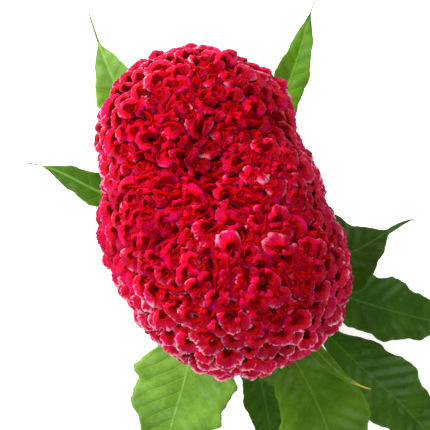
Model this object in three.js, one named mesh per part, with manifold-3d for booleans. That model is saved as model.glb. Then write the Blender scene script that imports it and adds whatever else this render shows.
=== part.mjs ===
// Potted cockscomb: a celosia whose flower is one tightly folded crest on a flattened stem,
// in a plain clay pot. Millimetres, +Z up, with the origin at the centre of the pot's base.

import * as THREE from 'three';
import { ConvexHull } from 'three/addons/math/ConvexHull.js';
import { mergeVertices } from 'three/addons/utils/BufferGeometryUtils.js';
import Module from 'manifold-3d';

const wasm = await Module();
wasm.setup();

// Driving dimensions

const GAP = 0.3;

const POT = {
  height: 110,
  baseRadius: 41,
  shoulderRadius: 54,
  bandRadius: 60,
  bandTaper: 1.5,
  bandHeight: 22,
  wall: 5,
  floor: 6,
  edge: 1.2,
  sides: 40,
  drainRadius: 4.5,
  drainOffset: 24,
  drains: 4,
  drainSides: 16,
};

const SOIL = { surface: 97, lump: 1.6, lumpLength: 9, rows: 6, holeSides: 24 };

const STEM = {
  foot: 60,
  top: 215,
  radius: 6,
  widenFrom: 150,
  fanWidth: 26,
  fanDepth: 11,
  leanFrom: 120,
  ribs: 8,
  ribDepth: 0.45,
  rings: 18,
  sides: 32,
};

// The head is given by lobes round its centre, each an ellipsoid that holds the centre.
const HEAD = {
  centre: new THREE.Vector3(-6, 8, 272),
  lobes: [
    { at: [-15, 39, 2], radii: [50, 46, 47] },
    { at: [6, -31, 0], radii: [58, 53, 53] },
    { at: [-25, -3, -2], radii: [39, 45, 47] },
    { at: [14, 10, 0], radii: [35, 33, 47] },
    { at: [0, 0, -22], radii: [27, 60, 38] },
  ],
  blend: 14,
  skirt: -18,
};

// The crest is one closed line that grows until its folds fill the dome.
const CREST = {
  spacing: 8.6,
  step: 2.9,
  startNodes: 90,
  startOval: [0.5, 1.8, 1],
  nodes: 2150,
  rounds: 560,
  settle: 60,
  growth: 0.014,
  stray: 2.4,
  bend: 0.22,
  spring: 0.3,
  push: 0.9,
  bonded: 2,
  stretch: 1.45,
  depth: 8.5,
  ruffle: 1.2,
  ruffleLength: 6,
  seed: 11,
};

const VALLEY = { candidates: 14000, clearance: 0.36, apart: 3.3 };

// The pleats under the crest run down to the stem and join two by two on the way.
const PLEATS = {
  rings: [
    { polar: 71, pleats: 44, depth: 3 },
    { polar: 61, pleats: 44, depth: 3 },
    { polar: 50, pleats: 44, depth: 2.6 },
    { polar: 39, pleats: 22, depth: 2.2 },
    { polar: 30, pleats: 22, depth: 1.2 },
  ],
  seatRings: [{ scale: 0.98, nodes: 28 }, { scale: 0.5, nodes: 14 }],
};

const LEAF = {
  thickness: 0.8,
  stalkWidth: 3.2,
  stalkThickness: 2.6,
  ribThickness: 1.5,
  tipWidth: 1.4,
  stations: 18,
  cells: 4,
  ripples: 3,
  ripplePhases: { right: 0.9, left: 3.2 },
  teeth: 4.5,
  toothDepth: 0.07,
  tail: { width: 0.16, from: 0.4, to: 0.8 },
  opening: 0.12,
  tipThinning: 0.6,
};

// Each leaf starts at the stem's surface at the height `from`, on the side `at`, and runs in
// the compass direction `heading`, which turns and sways on the way. It climbs at `rise`
// degrees and loses `droop` degrees by the tip. `stalk` and `body` are shares of its length.
const LEAVES = {
  upper_left: { from: 207, at: 112, heading: 140, turn: -34, sway: 2, rise: 19, droop: 24,
    length: 128, width: 27, stalk: 0.22, body: 0.8, skew: 1.1, fold: 0.3, roll: -6, wave: 1.6 },
  left: { from: 200, at: 150, heading: 148, turn: 25, sway: 15, rise: 18, droop: 34,
    length: 108, width: 18, stalk: 0.2, body: 0.9, skew: 0.95, fold: 0.3, roll: 2, wave: 1.2 },
  upper_right: { from: 201, at: 70, heading: 62, turn: 15, sway: 0, rise: 18, droop: 24,
    length: 131, width: 19, stalk: 0.2, body: 0.86, skew: 0.9, fold: 0.28, roll: 5, wave: 2.2 },
  right_curl: { from: 190, at: 5, heading: -5, turn: 22, sway: -21, rise: 14, droop: 18,
    length: 102, width: 50, stalk: 0.2, body: 0.8, skew: 0.8, fold: 0.2, roll: -10, wave: 2.4 },
  young: { from: 206, at: -62, heading: -79, turn: 68, sway: 16, rise: 22, droop: 34,
    length: 102, width: 9, stalk: 0.12, body: 0.95, skew: 1, fold: 0.4, roll: 0, wave: 0.5 },
  right_broad: { from: 166, at: -12, heading: -27, turn: 20, sway: 0, rise: 12, droop: 38,
    length: 140, width: 35, stalk: 0.3, body: 0.94, skew: 0.95, fold: 0.2, roll: 0, wave: 2 },
  right_low: { from: 138, at: -38, heading: -23, turn: -40, sway: -9, rise: 8, droop: 30,
    length: 172, width: 40, stalk: 0.3, body: 0.9, skew: 1.15, fold: 0.2, roll: 0, wave: 2.6 },
  low_mid: { from: 182, at: -66, heading: -71, turn: 16, sway: 11, rise: 20, droop: 45,
    length: 158, width: 48, stalk: 0.25, body: 0.92, skew: 1.2, fold: 0.2, roll: 0, wave: 2 },
  low_dark: { from: 146, at: -92, heading: -82, turn: 12, sway: 7, rise: 5, droop: 35,
    length: 129, width: 24, stalk: 0.2, body: 0.9, skew: 1, fold: 0.2, roll: 0, wave: 1.6 },
  low_left: { from: 165, at: -120, heading: -130, turn: 52, sway: 14, rise: 15, droop: 50,
    length: 137, width: 56, stalk: 0.3, body: 0.88, skew: 0.72, fold: 0.16, roll: 0, wave: 2 },
  back_left: { from: 152, at: 150, heading: 152, turn: -14, sway: 0, rise: 6, droop: 58,
    length: 88, width: 30, stalk: 0.22, body: 0.9, skew: 0.9, fold: 0.22, roll: 0, wave: 2 },
  back: { from: 174, at: 96, heading: 98, turn: 12, sway: 0, rise: 8, droop: 60,
    length: 92, width: 30, stalk: 0.22, body: 0.9, skew: 0.9, fold: 0.22, roll: 0, wave: 2 },
  back_right: { from: 142, at: 42, heading: 40, turn: 14, sway: 0, rise: 5, droop: 55,
    length: 70, width: 30, stalk: 0.22, body: 0.9, skew: 0.9, fold: 0.22, roll: 0, wave: 2 },
  side_left: { from: 180, at: 196, heading: 200, turn: -10, sway: 0, rise: 4, droop: 62,
    length: 70, width: 28, stalk: 0.22, body: 0.9, skew: 0.9, fold: 0.22, roll: 0, wave: 2 },
  low_back: { from: 126, at: 118, heading: 120, turn: -16, sway: 0, rise: 12, droop: 44,
    length: 70, width: 26, stalk: 0.22, body: 0.9, skew: 0.85, fold: 0.22, roll: 0, wave: 1.6 },
  low_side: { from: 126, at: 222, heading: 220, turn: 12, sway: 0, rise: 10, droop: 52,
    length: 60, width: 24, stalk: 0.22, body: 0.9, skew: 0.85, fold: 0.22, roll: 0, wave: 1.6 },
};

const PALETTE = {
  clay: { color: 0xb5653f, roughness: 0.9 },
  earth: { color: 0x3a2a20, roughness: 1 },
  stem: { color: 0x8a8a4a, roughness: 0.6 },
  crest: { color: 0xb6112e, roughness: 0.75 },
  freshLeaf: { color: 0x84a851, roughness: 0.55 },
  leaf: { color: 0x5f8531, roughness: 0.5 },
  darkLeaf: { color: 0x3f6020, roughness: 0.5 },
};

const LEAF_TONES = {
  upper_left: 'freshLeaf', low_left: 'freshLeaf', upper_right: 'leaf', left: 'leaf',
  young: 'leaf', low_mid: 'leaf', back: 'leaf', side_left: 'leaf',
};

// Small mathematical helpers

const UP = new THREE.Vector3(0, 0, 1);
const radians = THREE.MathUtils.degToRad;
const { lerp, clamp, smoothstep } = THREE.MathUtils;

function seededRandom(seed) {
  let state = seed >>> 0;
  return () => {
    state = (state + 0x6d2b79f5) >>> 0;
    let mixed = Math.imul(state ^ (state >>> 15), 1 | state);
    mixed = (mixed + Math.imul(mixed ^ (mixed >>> 7), 61 | mixed)) ^ mixed;
    return ((mixed ^ (mixed >>> 14)) >>> 0) / 4294967296;
  };
}

// A smooth wander in space, between -1 and 1, for lumps and ruffles.
function wander(point, length) {
  const [x, y, z] = [point.x / length, point.y / length, point.z / length];
  const slow = Math.sin(1.7 * x + 2.3 * Math.sin(y)) * Math.cos(1.3 * z + y);
  const quick = Math.sin(3.1 * y + 1.9 * z + 2.1 * Math.cos(2.2 * x));
  return 0.6 * slow + 0.4 * quick;
}

// Closed meshes

function meshFrom(points, triangles) {
  const geometry = new THREE.BufferGeometry();
  const flat = points.flatMap((point) => point.toArray());
  geometry.setAttribute('position', new THREE.Float32BufferAttribute(flat, 3));
  geometry.setIndex(triangles.flat());
  return geometry;
}

// A tube through rings with the same number of points, closed at both ends by flat fans.
function loft(rings) {
  const sides = rings[0].length;
  const points = rings.flat();
  const triangles = [];
  for (let ring = 0; ring < rings.length - 1; ring++) {
    for (let side = 0; side < sides; side++) {
      const a = ring * sides + side;
      const b = ring * sides + ((side + 1) % sides);
      triangles.push([a, b, b + sides], [a, b + sides, a + sides]);
    }
  }
  const last = points.length - sides;
  for (let side = 1; side < sides - 1; side++) {
    triangles.push([0, side + 1, side], [last, last + side, last + side + 1]);
  }
  return meshFrom(points, triangles);
}

// A thin sheet from two grids of points, split into triangles alike on both faces.
function sheet(top, bottom) {
  const [rows, columns] = [top.length, top[0].length];
  const points = [...top.flat(), ...bottom.flat()];
  const under = rows * columns;
  const triangles = [];
  for (let row = 0; row < rows - 1; row++) {
    for (let column = 0; column < columns - 1; column++) {
      const a = row * columns + column;
      const [b, c, d] = [a + columns, a + columns + 1, a + 1];
      triangles.push([a, c, b], [a, d, c]);
      triangles.push([under + a, under + b, under + c], [under + a, under + c, under + d]);
    }
  }
  const rim = [];
  for (let column = 0; column < columns - 1; column++) rim.push(column);
  for (let row = 0; row < rows - 1; row++) rim.push(row * columns + columns - 1);
  for (let column = columns - 1; column > 0; column--) rim.push((rows - 1) * columns + column);
  for (let row = rows - 1; row > 0; row--) rim.push(row * columns);
  rim.forEach((a, index) => {
    const b = rim[(index + 1) % rim.length];
    triangles.push([a, under + b, b], [a, under + a, under + b]);
  });
  return meshFrom(points, triangles);
}

function toSolid(geometry) {
  const bare = geometry.clone();
  bare.deleteAttribute('normal');
  bare.deleteAttribute('uv');
  const merged = mergeVertices(bare, 1e-4);
  const index = merged.index.array;
  const kept = [];
  for (let i = 0; i < index.length; i += 3) {
    const [a, b, c] = [index[i], index[i + 1], index[i + 2]];
    if (a !== b && b !== c && c !== a) kept.push(a, b, c);
  }
  return new wasm.Manifold(new wasm.Mesh({
    numProp: 3,
    vertProperties: Float32Array.from(merged.attributes.position.array),
    triVerts: Uint32Array.from(kept),
  }));
}

function fromSolid(solid) {
  const { vertProperties, triVerts } = solid.getMesh();
  const geometry = new THREE.BufferGeometry();
  geometry.setAttribute('position', new THREE.BufferAttribute(vertProperties, 3));
  geometry.setIndex(new THREE.BufferAttribute(triVerts, 1));
  return geometry;
}

// A profile of [radius, height] pairs turned about +Z.
function turned(profile, sides) {
  const points = profile.map(([radius, height]) => new THREE.Vector2(radius, height));
  return new THREE.LatheGeometry(points, sides).rotateX(Math.PI / 2);
}

function uprightCylinder(radius, from, to, sides) {
  const shape = new THREE.CylinderGeometry(radius, radius, to - from, sides);
  return shape.rotateX(Math.PI / 2).translate(0, 0, (from + to) / 2);
}

// Pot: thin walls, a rim band and drain holes clear of the middle of the base

function innerRadius(height) {
  const bandFoot = POT.height - POT.bandHeight;
  const climb = (height - POT.floor) / (bandFoot - POT.floor);
  const straight = lerp(POT.baseRadius, POT.shoulderRadius, climb) - POT.wall;
  return Math.min(straight, POT.bandRadius - POT.wall);
}

function makePot() {
  const { height, baseRadius, shoulderRadius, bandRadius, edge, sides } = POT;
  const bandFoot = height - POT.bandHeight;
  const bandFootRadius = bandRadius - POT.bandTaper;
  const profile = [
    [0, 0], [baseRadius - edge, 0], [baseRadius, edge], [shoulderRadius, bandFoot],
    [bandFootRadius - edge, bandFoot], [bandFootRadius, bandFoot + edge],
    [bandRadius, height - edge], [bandRadius - edge, height],
    [innerRadius(height) + edge, height], [innerRadius(height - edge), height - edge],
    [innerRadius(POT.floor + edge), POT.floor + edge],
    [innerRadius(POT.floor) - edge, POT.floor], [0, POT.floor],
  ];
  let pot = toSolid(turned(profile, sides));
  for (let drain = 0; drain < POT.drains; drain++) {
    const turn = (2 * Math.PI * (drain + 0.5)) / POT.drains;
    const hole = uprightCylinder(POT.drainRadius, -1, POT.floor + 1, POT.drainSides);
    hole.translate(POT.drainOffset * Math.cos(turn), POT.drainOffset * Math.sin(turn), 0);
    pot = pot.subtract(toSolid(hole));
  }
  return fromSolid(pot);
}

// Soil: fills the pot with a lumpy surface and a plain hole where the stem stands

function makeSoil() {
  const foot = POT.floor + GAP;
  const side = (height) => innerRadius(height) - GAP;
  const rim = side(SOIL.surface);
  const bend = 2 * POT.edge;
  const profile = [[0, foot], [side(foot) - bend, foot], [side(foot + bend), foot + bend]];
  for (let row = 0; row < SOIL.rows; row++) {
    profile.push([rim * (1 - row / SOIL.rows), SOIL.surface]);
  }
  profile.push([0, SOIL.surface]);
  const shape = turned(profile, POT.sides);
  const position = shape.attributes.position;
  const point = new THREE.Vector3();
  for (let i = 0; i < position.count; i++) {
    point.fromBufferAttribute(position, i);
    const out = Math.hypot(point.x, point.y);
    if (point.z > SOIL.surface - 1 && out < rim - 1) {
      position.setZ(i, point.z + SOIL.lump * wander(point, SOIL.lumpLength));
    }
  }
  const holeRadius = STEM.radius + STEM.ribDepth + GAP;
  const hole = uprightCylinder(holeRadius, STEM.foot - GAP, POT.height, SOIL.holeSides);
  return fromSolid(toSolid(shape).subtract(toSolid(hole)));
}

// Stem: round and ribbed below, it leans to the head and widens into a flat fan

function stemAxis(height) {
  const lean = smoothstep(height, STEM.leanFrom, STEM.top + 10);
  return new THREE.Vector3(HEAD.centre.x * lean, HEAD.centre.y * lean, height);
}

function stemSurface(height, compass) {
  const widen = smoothstep(height, STEM.widenFrom, STEM.top);
  const across = lerp(STEM.radius, STEM.fanDepth, widen);
  const along = lerp(STEM.radius, STEM.fanWidth, widen);
  const turn = radians(compass);
  const plain = 1 / Math.hypot(Math.cos(turn) / across, Math.sin(turn) / along);
  const reach = plain + STEM.ribDepth * Math.cos(STEM.ribs * turn);
  const out = new THREE.Vector3(Math.cos(turn), Math.sin(turn), 0);
  return stemAxis(height).addScaledVector(out, reach);
}

function makeStem() {
  const rings = [];
  for (let ring = 0; ring <= STEM.rings; ring++) {
    const height = lerp(STEM.foot, STEM.top, ring / STEM.rings);
    const points = [];
    for (let side = 0; side < STEM.sides; side++) {
      points.push(stemSurface(height, (360 * side) / STEM.sides));
    }
    rings.push(points);
  }
  return loft(rings);
}

// Leaves: a stalk that opens into a blade, folded along its rib, with waved edges

function leafHalfWidth(leaf, share) {
  const along = clamp((share - leaf.stalk) / (1 - leaf.stalk), 0, 1);
  const body = Math.sin(Math.PI * clamp(along / leaf.body, 0, 1) ** leaf.skew);
  const { width, from, to } = LEAF.tail;
  const tail = width * (1 - along) * smoothstep(along, from, to);
  const teeth = 1 + LEAF.toothDepth * Math.sin(2 * Math.PI * LEAF.teeth * along);
  const blade = (leaf.width / 2) * Math.hypot(Math.max(body, 0), tail) * teeth;
  const least = lerp(LEAF.stalkWidth, LEAF.tipWidth, smoothstep(share, 0, 1)) / 2;
  return Math.max(blade, least);
}

function leafDirection(leaf, share) {
  const sway = leaf.sway * Math.sin(2 * Math.PI * share);
  const heading = radians(leaf.heading + leaf.turn * share + sway);
  const climb = radians(leaf.rise - leaf.droop * share);
  const level = Math.cos(climb);
  return new THREE.Vector3(
    level * Math.cos(heading), level * Math.sin(heading), Math.sin(climb),
  );
}

// The stalk starts clear of the stem, by more where it leaves the surface at a slant.
function stalkStart(leaf) {
  const round = stemSurface(leaf.from, leaf.at + 3).sub(stemSurface(leaf.from, leaf.at - 3));
  const upward = stemSurface(leaf.from + 3, leaf.at).sub(stemSurface(leaf.from - 3, leaf.at));
  const outward = round.cross(upward).normalize();
  const slant = leafDirection(leaf, 0).angleTo(outward);
  const clearance = 1.5 * GAP + (LEAF.stalkWidth / 2) * Math.sin(slant);
  return stemSurface(leaf.from, leaf.at).addScaledVector(outward, clearance);
}

function makeLeaf(leaf) {
  const { stations, cells } = LEAF;
  const centre = stalkStart(leaf);
  const top = [];
  const bottom = [];
  for (let station = 0; station <= stations; station++) {
    const share = station / stations;
    const forward = leafDirection(leaf, share);
    if (station > 0) {
      const middle = leafDirection(leaf, (station - 0.5) / stations);
      centre.addScaledVector(middle, leaf.length / stations);
    }
    const level = new THREE.Vector3().crossVectors(forward, UP).normalize();
    level.applyAxisAngle(forward, radians(leaf.roll * smoothstep(share, 0, 0.5)));
    const raised = new THREE.Vector3().crossVectors(level, forward);
    const half = leafHalfWidth(leaf, share);
    const blade = smoothstep(share, 0.8 * leaf.stalk, leaf.stalk + LEAF.opening);
    const middleThickness = lerp(LEAF.stalkThickness, LEAF.ribThickness, blade)
      * lerp(1, LEAF.tipThinning, smoothstep(share, 0.6, 1));
    const topRow = [];
    const bottomRow = [];
    for (let cell = 0; cell <= cells; cell++) {
      const across = (2 * cell) / cells - 1;
      const spread = Math.abs(across);
      const phase = across > 0 ? LEAF.ripplePhases.right : LEAF.ripplePhases.left;
      const ripple = Math.sin(2 * Math.PI * LEAF.ripples * share + phase);
      const lift = blade * (leaf.fold * half * spread + leaf.wave * spread ** 2 * ripple);
      const point = centre.clone().addScaledVector(level, across * half);
      point.addScaledVector(raised, lift);
      const thickness = lerp(middleThickness, LEAF.thickness, spread ** 0.7);
      topRow.push(point.clone().addScaledVector(raised, thickness / 2));
      bottomRow.push(point.clone().addScaledVector(raised, -thickness / 2));
    }
    top.push(topRow);
    bottom.push(bottomRow);
  }
  return sheet(top, bottom);
}

// Flower head: the crest's folds stand out of a dome, over a pleated underside

function domeRadius(direction) {
  let sum = 0;
  for (const { at, radii } of HEAD.lobes) {
    const aim = [direction.x / radii[0], direction.y / radii[1], direction.z / radii[2]];
    const shift = [at[0] / radii[0], at[1] / radii[1], at[2] / radii[2]];
    const a = aim[0] ** 2 + aim[1] ** 2 + aim[2] ** 2;
    const b = aim[0] * shift[0] + aim[1] * shift[1] + aim[2] * shift[2];
    const c = shift[0] ** 2 + shift[1] ** 2 + shift[2] ** 2 - 1;
    sum += ((b + Math.sqrt(b * b - a * c)) / a) ** HEAD.blend;
  }
  return sum ** (1 / HEAD.blend);
}

// Moves a point, measured from the head's centre, along its own ray onto the dome.
function ontoDome(point) {
  point.normalize();
  return point.multiplyScalar(domeRadius(point));
}

// Finds the points of a list near a given place.
function neighbourhood(points, size) {
  const cells = new Map();
  const key = (x, y, z) => (x * 4096 + y) * 4096 + z;
  const cell = (value) => Math.floor(value / size) + 1024;
  points.forEach((point, index) => {
    const name = key(cell(point.x), cell(point.y), cell(point.z));
    if (!cells.has(name)) cells.set(name, []);
    cells.get(name).push(index);
  });
  return (place) => {
    const found = [];
    const [cx, cy, cz] = [cell(place.x), cell(place.y), cell(place.z)];
    for (let x = cx - 1; x <= cx + 1; x++) {
      for (let y = cy - 1; y <= cy + 1; y++) {
        for (let z = cz - 1; z <= cz + 1; z++) {
          const held = cells.get(key(x, y, z));
          if (held) found.push(...held);
        }
      }
    }
    return found;
  };
}

// Lets the line push itself apart, pull along its length and straighten, all on the dome.
// A node leaves its next two neighbours on the line to the pull.
function relaxLine(line) {
  const count = line.length;
  const near = neighbourhood(line, CREST.spacing);
  const away = new THREE.Vector3();
  return line.map((point, i) => {
    const before = line[(i + count - 1) % count];
    const after = line[(i + 1) % count];
    const moved = point.clone();
    away.copy(before).add(after).multiplyScalar(0.5).sub(point);
    moved.addScaledVector(away, CREST.bend);
    for (const other of [before, after]) {
      away.copy(other).sub(point);
      const length = Math.max(away.length(), 0.01);
      moved.addScaledVector(away, (CREST.spring * (length - CREST.step)) / length);
    }
    for (const j of near(point)) {
      const along = Math.abs(i - j);
      if (Math.min(along, count - along) <= CREST.bonded) continue;
      away.copy(point).sub(line[j]);
      const length = Math.max(away.length(), 0.01);
      if (length >= CREST.spacing) continue;
      const share = 1 - length / CREST.spacing;
      moved.addScaledVector(away, (CREST.push * share) / length);
    }
    moved.z = Math.max(moved.z, HEAD.skirt);
    return ontoDome(moved);
  });
}

// Adds a node wherever the line is stretched, and here and there by chance, a little astray.
function lengthenLine(line, random) {
  const longer = [];
  line.forEach((point, i) => {
    const next = line[(i + 1) % line.length];
    longer.push(point);
    const stretched = point.distanceTo(next) > CREST.stretch * CREST.step;
    const room = line.length < CREST.nodes;
    if (room && (stretched || random() < CREST.growth)) {
      const stray = new THREE.Vector3(random() - 0.5, random() - 0.5, random() - 0.5);
      const middle = point.clone().lerp(next, 0.5);
      longer.push(ontoDome(middle.addScaledVector(stray, CREST.stray)));
    }
  });
  return longer;
}

function growCrest(random) {
  let line = [];
  const [wide, long, high] = CREST.startOval;
  for (let i = 0; i < CREST.startNodes; i++) {
    const turn = (2 * Math.PI * i) / CREST.startNodes;
    line.push(ontoDome(new THREE.Vector3(wide * Math.cos(turn), long * Math.sin(turn), high)));
  }
  for (let round = 0; round < CREST.rounds + CREST.settle; round++) {
    line = relaxLine(line);
    if (round < CREST.rounds) line = lengthenLine(line, random);
  }
  return line;
}

// Places nodes in the hollows between folds, the furthest from the crest first, at even
// steps down the dome and round it by the golden angle.
function findValleys(crest) {
  const near = neighbourhood(crest, CREST.spacing);
  const golden = Math.PI * (3 - Math.sqrt(5));
  const found = [];
  for (let i = 0; i < VALLEY.candidates; i++) {
    const z = 1 - (2 * i + 1) / VALLEY.candidates;
    const ring = Math.sqrt(1 - z * z);
    const turn = golden * i;
    const point = ontoDome(new THREE.Vector3(ring * Math.cos(turn), ring * Math.sin(turn), z));
    if (point.z < HEAD.skirt) continue;
    const gaps = near(point).map((j) => point.distanceTo(crest[j]));
    const gap = Math.min(CREST.spacing, ...gaps);
    if (gap > VALLEY.clearance * CREST.spacing) found.push({ point, gap });
  }
  found.sort((one, other) => other.gap - one.gap);
  const kept = [];
  for (const candidate of found) {
    const crowded = kept.some(({ point }) => point.distanceTo(candidate.point) < VALLEY.apart);
    if (!crowded) kept.push(candidate);
  }
  return kept;
}

// Rings of ridge and furrow nodes under the crest, and the flat seat on the stem.
function pleatNodes(crest) {
  const nodes = [];
  const near = neighbourhood(crest, CREST.spacing);
  for (const { polar, pleats, depth } of PLEATS.rings) {
    for (let i = 0; i < 2 * pleats; i++) {
      const turn = (Math.PI * i) / pleats;
      const out = Math.sin(radians(polar));
      const down = -Math.cos(radians(polar));
      const direction = new THREE.Vector3(out * Math.cos(turn), out * Math.sin(turn), down);
      const node = ontoDome(direction);
      if (near(node).some((j) => node.distanceTo(crest[j]) < CREST.step)) continue;
      nodes.push(node.setLength(node.length() - (i % 2 === 0 ? 0 : depth)));
    }
  }
  const seat = STEM.top + GAP - HEAD.centre.z;
  for (const ring of PLEATS.seatRings) {
    for (let i = 0; i < ring.nodes; i++) {
      const turn = (2 * Math.PI * i) / ring.nodes;
      const [x, y] = [STEM.fanDepth * Math.cos(turn), STEM.fanWidth * Math.sin(turn)];
      nodes.push(new THREE.Vector3(ring.scale * x, ring.scale * y, seat));
    }
  }
  nodes.push(new THREE.Vector3(0, 0, seat));
  return nodes;
}

function makeHead() {
  const random = seededRandom(CREST.seed);
  const crest = growCrest(random);
  const ridges = crest.map((point) => {
    const lift = CREST.ruffle * wander(point, CREST.ruffleLength);
    return point.clone().setLength(point.length() + lift);
  });
  const valleys = findValleys(crest).map(({ point, gap }) => {
    const sink = CREST.depth * Math.min(1, (2 * gap) / CREST.spacing);
    return point.setLength(point.length() - sink);
  });
  const nodes = [...ridges, ...valleys, ...pleatNodes(crest)];
  const directions = nodes.map((node) => node.clone().normalize());
  const order = new Map(directions.map((direction, i) => [direction, i]));
  const hull = new ConvexHull().setFromPoints(directions);
  const triangles = hull.faces.map((face) => {
    const corners = [face.edge, face.edge.next, face.edge.prev];
    return corners.map((edge) => order.get(edge.head().point));
  });
  return meshFrom(nodes.map((node) => node.add(HEAD.centre)), triangles);
}

// Assembly

const plant = new THREE.Group();

function add(name, geometry, tone) {
  const material = new THREE.MeshStandardMaterial({ ...PALETTE[tone], metalness: 0 });
  const mesh = new THREE.Mesh(geometry, material);
  mesh.name = name;
  plant.add(mesh);
}

add('pot', makePot(), 'clay');
add('soil', makeSoil(), 'earth');
add('stem', makeStem(), 'stem');
add('flower_head', makeHead(), 'crest');
for (const [name, leaf] of Object.entries(LEAVES)) {
  add(`leaf_${name}`, makeLeaf(leaf), LEAF_TONES[name] ?? 'darkLeaf');
}

export default plant;
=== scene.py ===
"""The finished look of a potted cockscomb, built round its solid frame.

The crest's main line is one closed ribbon that grows over a dome until its folds fill it. Ruffled
cups stand among the folds, each a curved rim over a hollow, with a fan on its outer side. Sizes
inside the functions are millimetres.
"""

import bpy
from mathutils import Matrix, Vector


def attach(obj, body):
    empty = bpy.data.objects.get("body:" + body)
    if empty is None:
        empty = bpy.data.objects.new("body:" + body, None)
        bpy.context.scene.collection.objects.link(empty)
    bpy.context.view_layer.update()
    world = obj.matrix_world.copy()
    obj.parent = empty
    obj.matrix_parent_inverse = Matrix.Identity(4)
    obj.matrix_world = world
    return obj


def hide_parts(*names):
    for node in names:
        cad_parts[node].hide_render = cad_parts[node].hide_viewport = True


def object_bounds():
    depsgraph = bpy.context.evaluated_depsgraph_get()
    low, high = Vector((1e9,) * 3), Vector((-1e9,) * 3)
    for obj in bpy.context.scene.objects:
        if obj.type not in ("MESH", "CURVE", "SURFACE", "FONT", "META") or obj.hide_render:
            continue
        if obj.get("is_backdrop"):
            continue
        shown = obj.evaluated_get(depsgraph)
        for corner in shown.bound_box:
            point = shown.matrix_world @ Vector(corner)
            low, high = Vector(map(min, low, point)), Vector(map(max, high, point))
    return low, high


bl_info = {
    "name": "Potted Cockscomb",
    "version": (1, 0, 0),
    "blender": (4, 5, 0),
    "location": "3D View > Sidebar > Plant",
    "description": "Builds the crest, leaves, stem, soil and clay pot of a cockscomb",
    "category": "Add Mesh",
}

import math
from collections import namedtuple

import bmesh
import bpy
import numpy as np
from bpy.props import FloatProperty, FloatVectorProperty, IntProperty, PointerProperty
from mathutils import Vector

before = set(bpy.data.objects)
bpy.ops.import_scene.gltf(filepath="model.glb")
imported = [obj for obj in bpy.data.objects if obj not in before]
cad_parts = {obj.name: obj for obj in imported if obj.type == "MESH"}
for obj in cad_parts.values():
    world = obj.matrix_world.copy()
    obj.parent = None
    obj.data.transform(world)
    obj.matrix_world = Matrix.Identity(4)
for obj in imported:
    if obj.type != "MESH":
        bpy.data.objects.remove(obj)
CAD_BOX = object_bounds()

MM = 0.001
GOLDEN_ANGLE = math.pi * (3 - math.sqrt(5))

# The head's dome: lobes round the head's centre, each an ellipsoid that holds the centre, given
# by its own centre and its half lengths. A high blend follows the outermost lobe more sharply.
HEAD_CENTRE = np.array([-6.0, 8.0, 272.0])
LOBES = (
    ((-15, 39, 2), (50, 46, 47)),
    ((6, -31, 0), (58, 53, 53)),
    ((-25, -3, -2), (39, 45, 47)),
    ((14, 10, 0), (35, 33, 47)),
    ((0, 0, -22), (27, 60, 38)),
)
LOBE_BLEND = 14
# Shallow swells and dents of the dome: direction, width, height
DENTS = (
    ((30, 60, 4), 0.05, 4.0),
    ((-38, -48, 0), 0.05, -3.5),
    ((-24, -80, 0), 0.03, -2.5),
    ((40, -74, 0), 0.03, -2.5),
)
# The level under which the dome turns into the pleated underside
SKIRT = -18.0
# How much the distance between folds varies over the dome, and over what length
VARIATION, VARIATION_SIZE = 0.45, 6.5
# How the ribbon grows: rounds that lengthen it and rounds that only settle it, the step between
# its nodes, how much a round straightens, springs and pushes it, the share of its nodes that
# divide by chance, the most nodes, and how far a new one strays
Habit = namedtuple("Habit", "rounds settle step bend spring push growth limit stray")
FOLDS = Habit(480, 20, 2.9, 0.22, 0.3, 0.9, 0.014, 2150, 2.4)
RUFFLES = Habit(170, 40, 1.6, 0.16, 0.3, 0.5, 0.02, 4400, 1.8)
# Nodes this near along the ribbon don't push each other, and a step this many times too long
# is divided
BONDED, STRETCHED = 2, 1.45
# The cups spread over this area and this share of a sphere's height, stray, and are pushed apart
# in rounds; the lowest stand at `CUPS_END`
CUP_AREA, CUP_SPREAD, CUP_STRAY, CUP_ROUNDS, CUP_PUSH = 112000, 1.6, 0.3, 80, 0.3
CUPS_END = SKIRT - 8

# The stem: round below, leaning to the head, and a flat fan under it, where the crest sits
STEM_FOOT, STEM_TOP, CREST_SEAT = 60.0, 215.0, 215.3
STEM_RADIUS, STEM_RIBS, STEM_RIB_DEPTH = 6.0, 8, 0.45
STEM_WIDENS, STEM_LEANS = 150.0, 120.0
FAN_DEPTH, FAN_WIDTH = 11.0, 26.0

# The pot and its soil; `POT_EDGE` is how much of each corner is rounded
POT_HEIGHT, POT_BAND, POT_FLOOR, POT_WALL = 110.0, 22.0, 6.0, 5.0
POT_BASE_RADIUS, POT_SHOULDER_RADIUS, POT_RIM_RADIUS = 41.0, 54.0, 60.0
POT_EDGE, DRAINS, DRAIN_RADIUS, DRAIN_OUT = 1.6, 4, 4.5, 24.0
SOIL_LEVEL, SOIL_GAP = 97.0, 0.3

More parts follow.
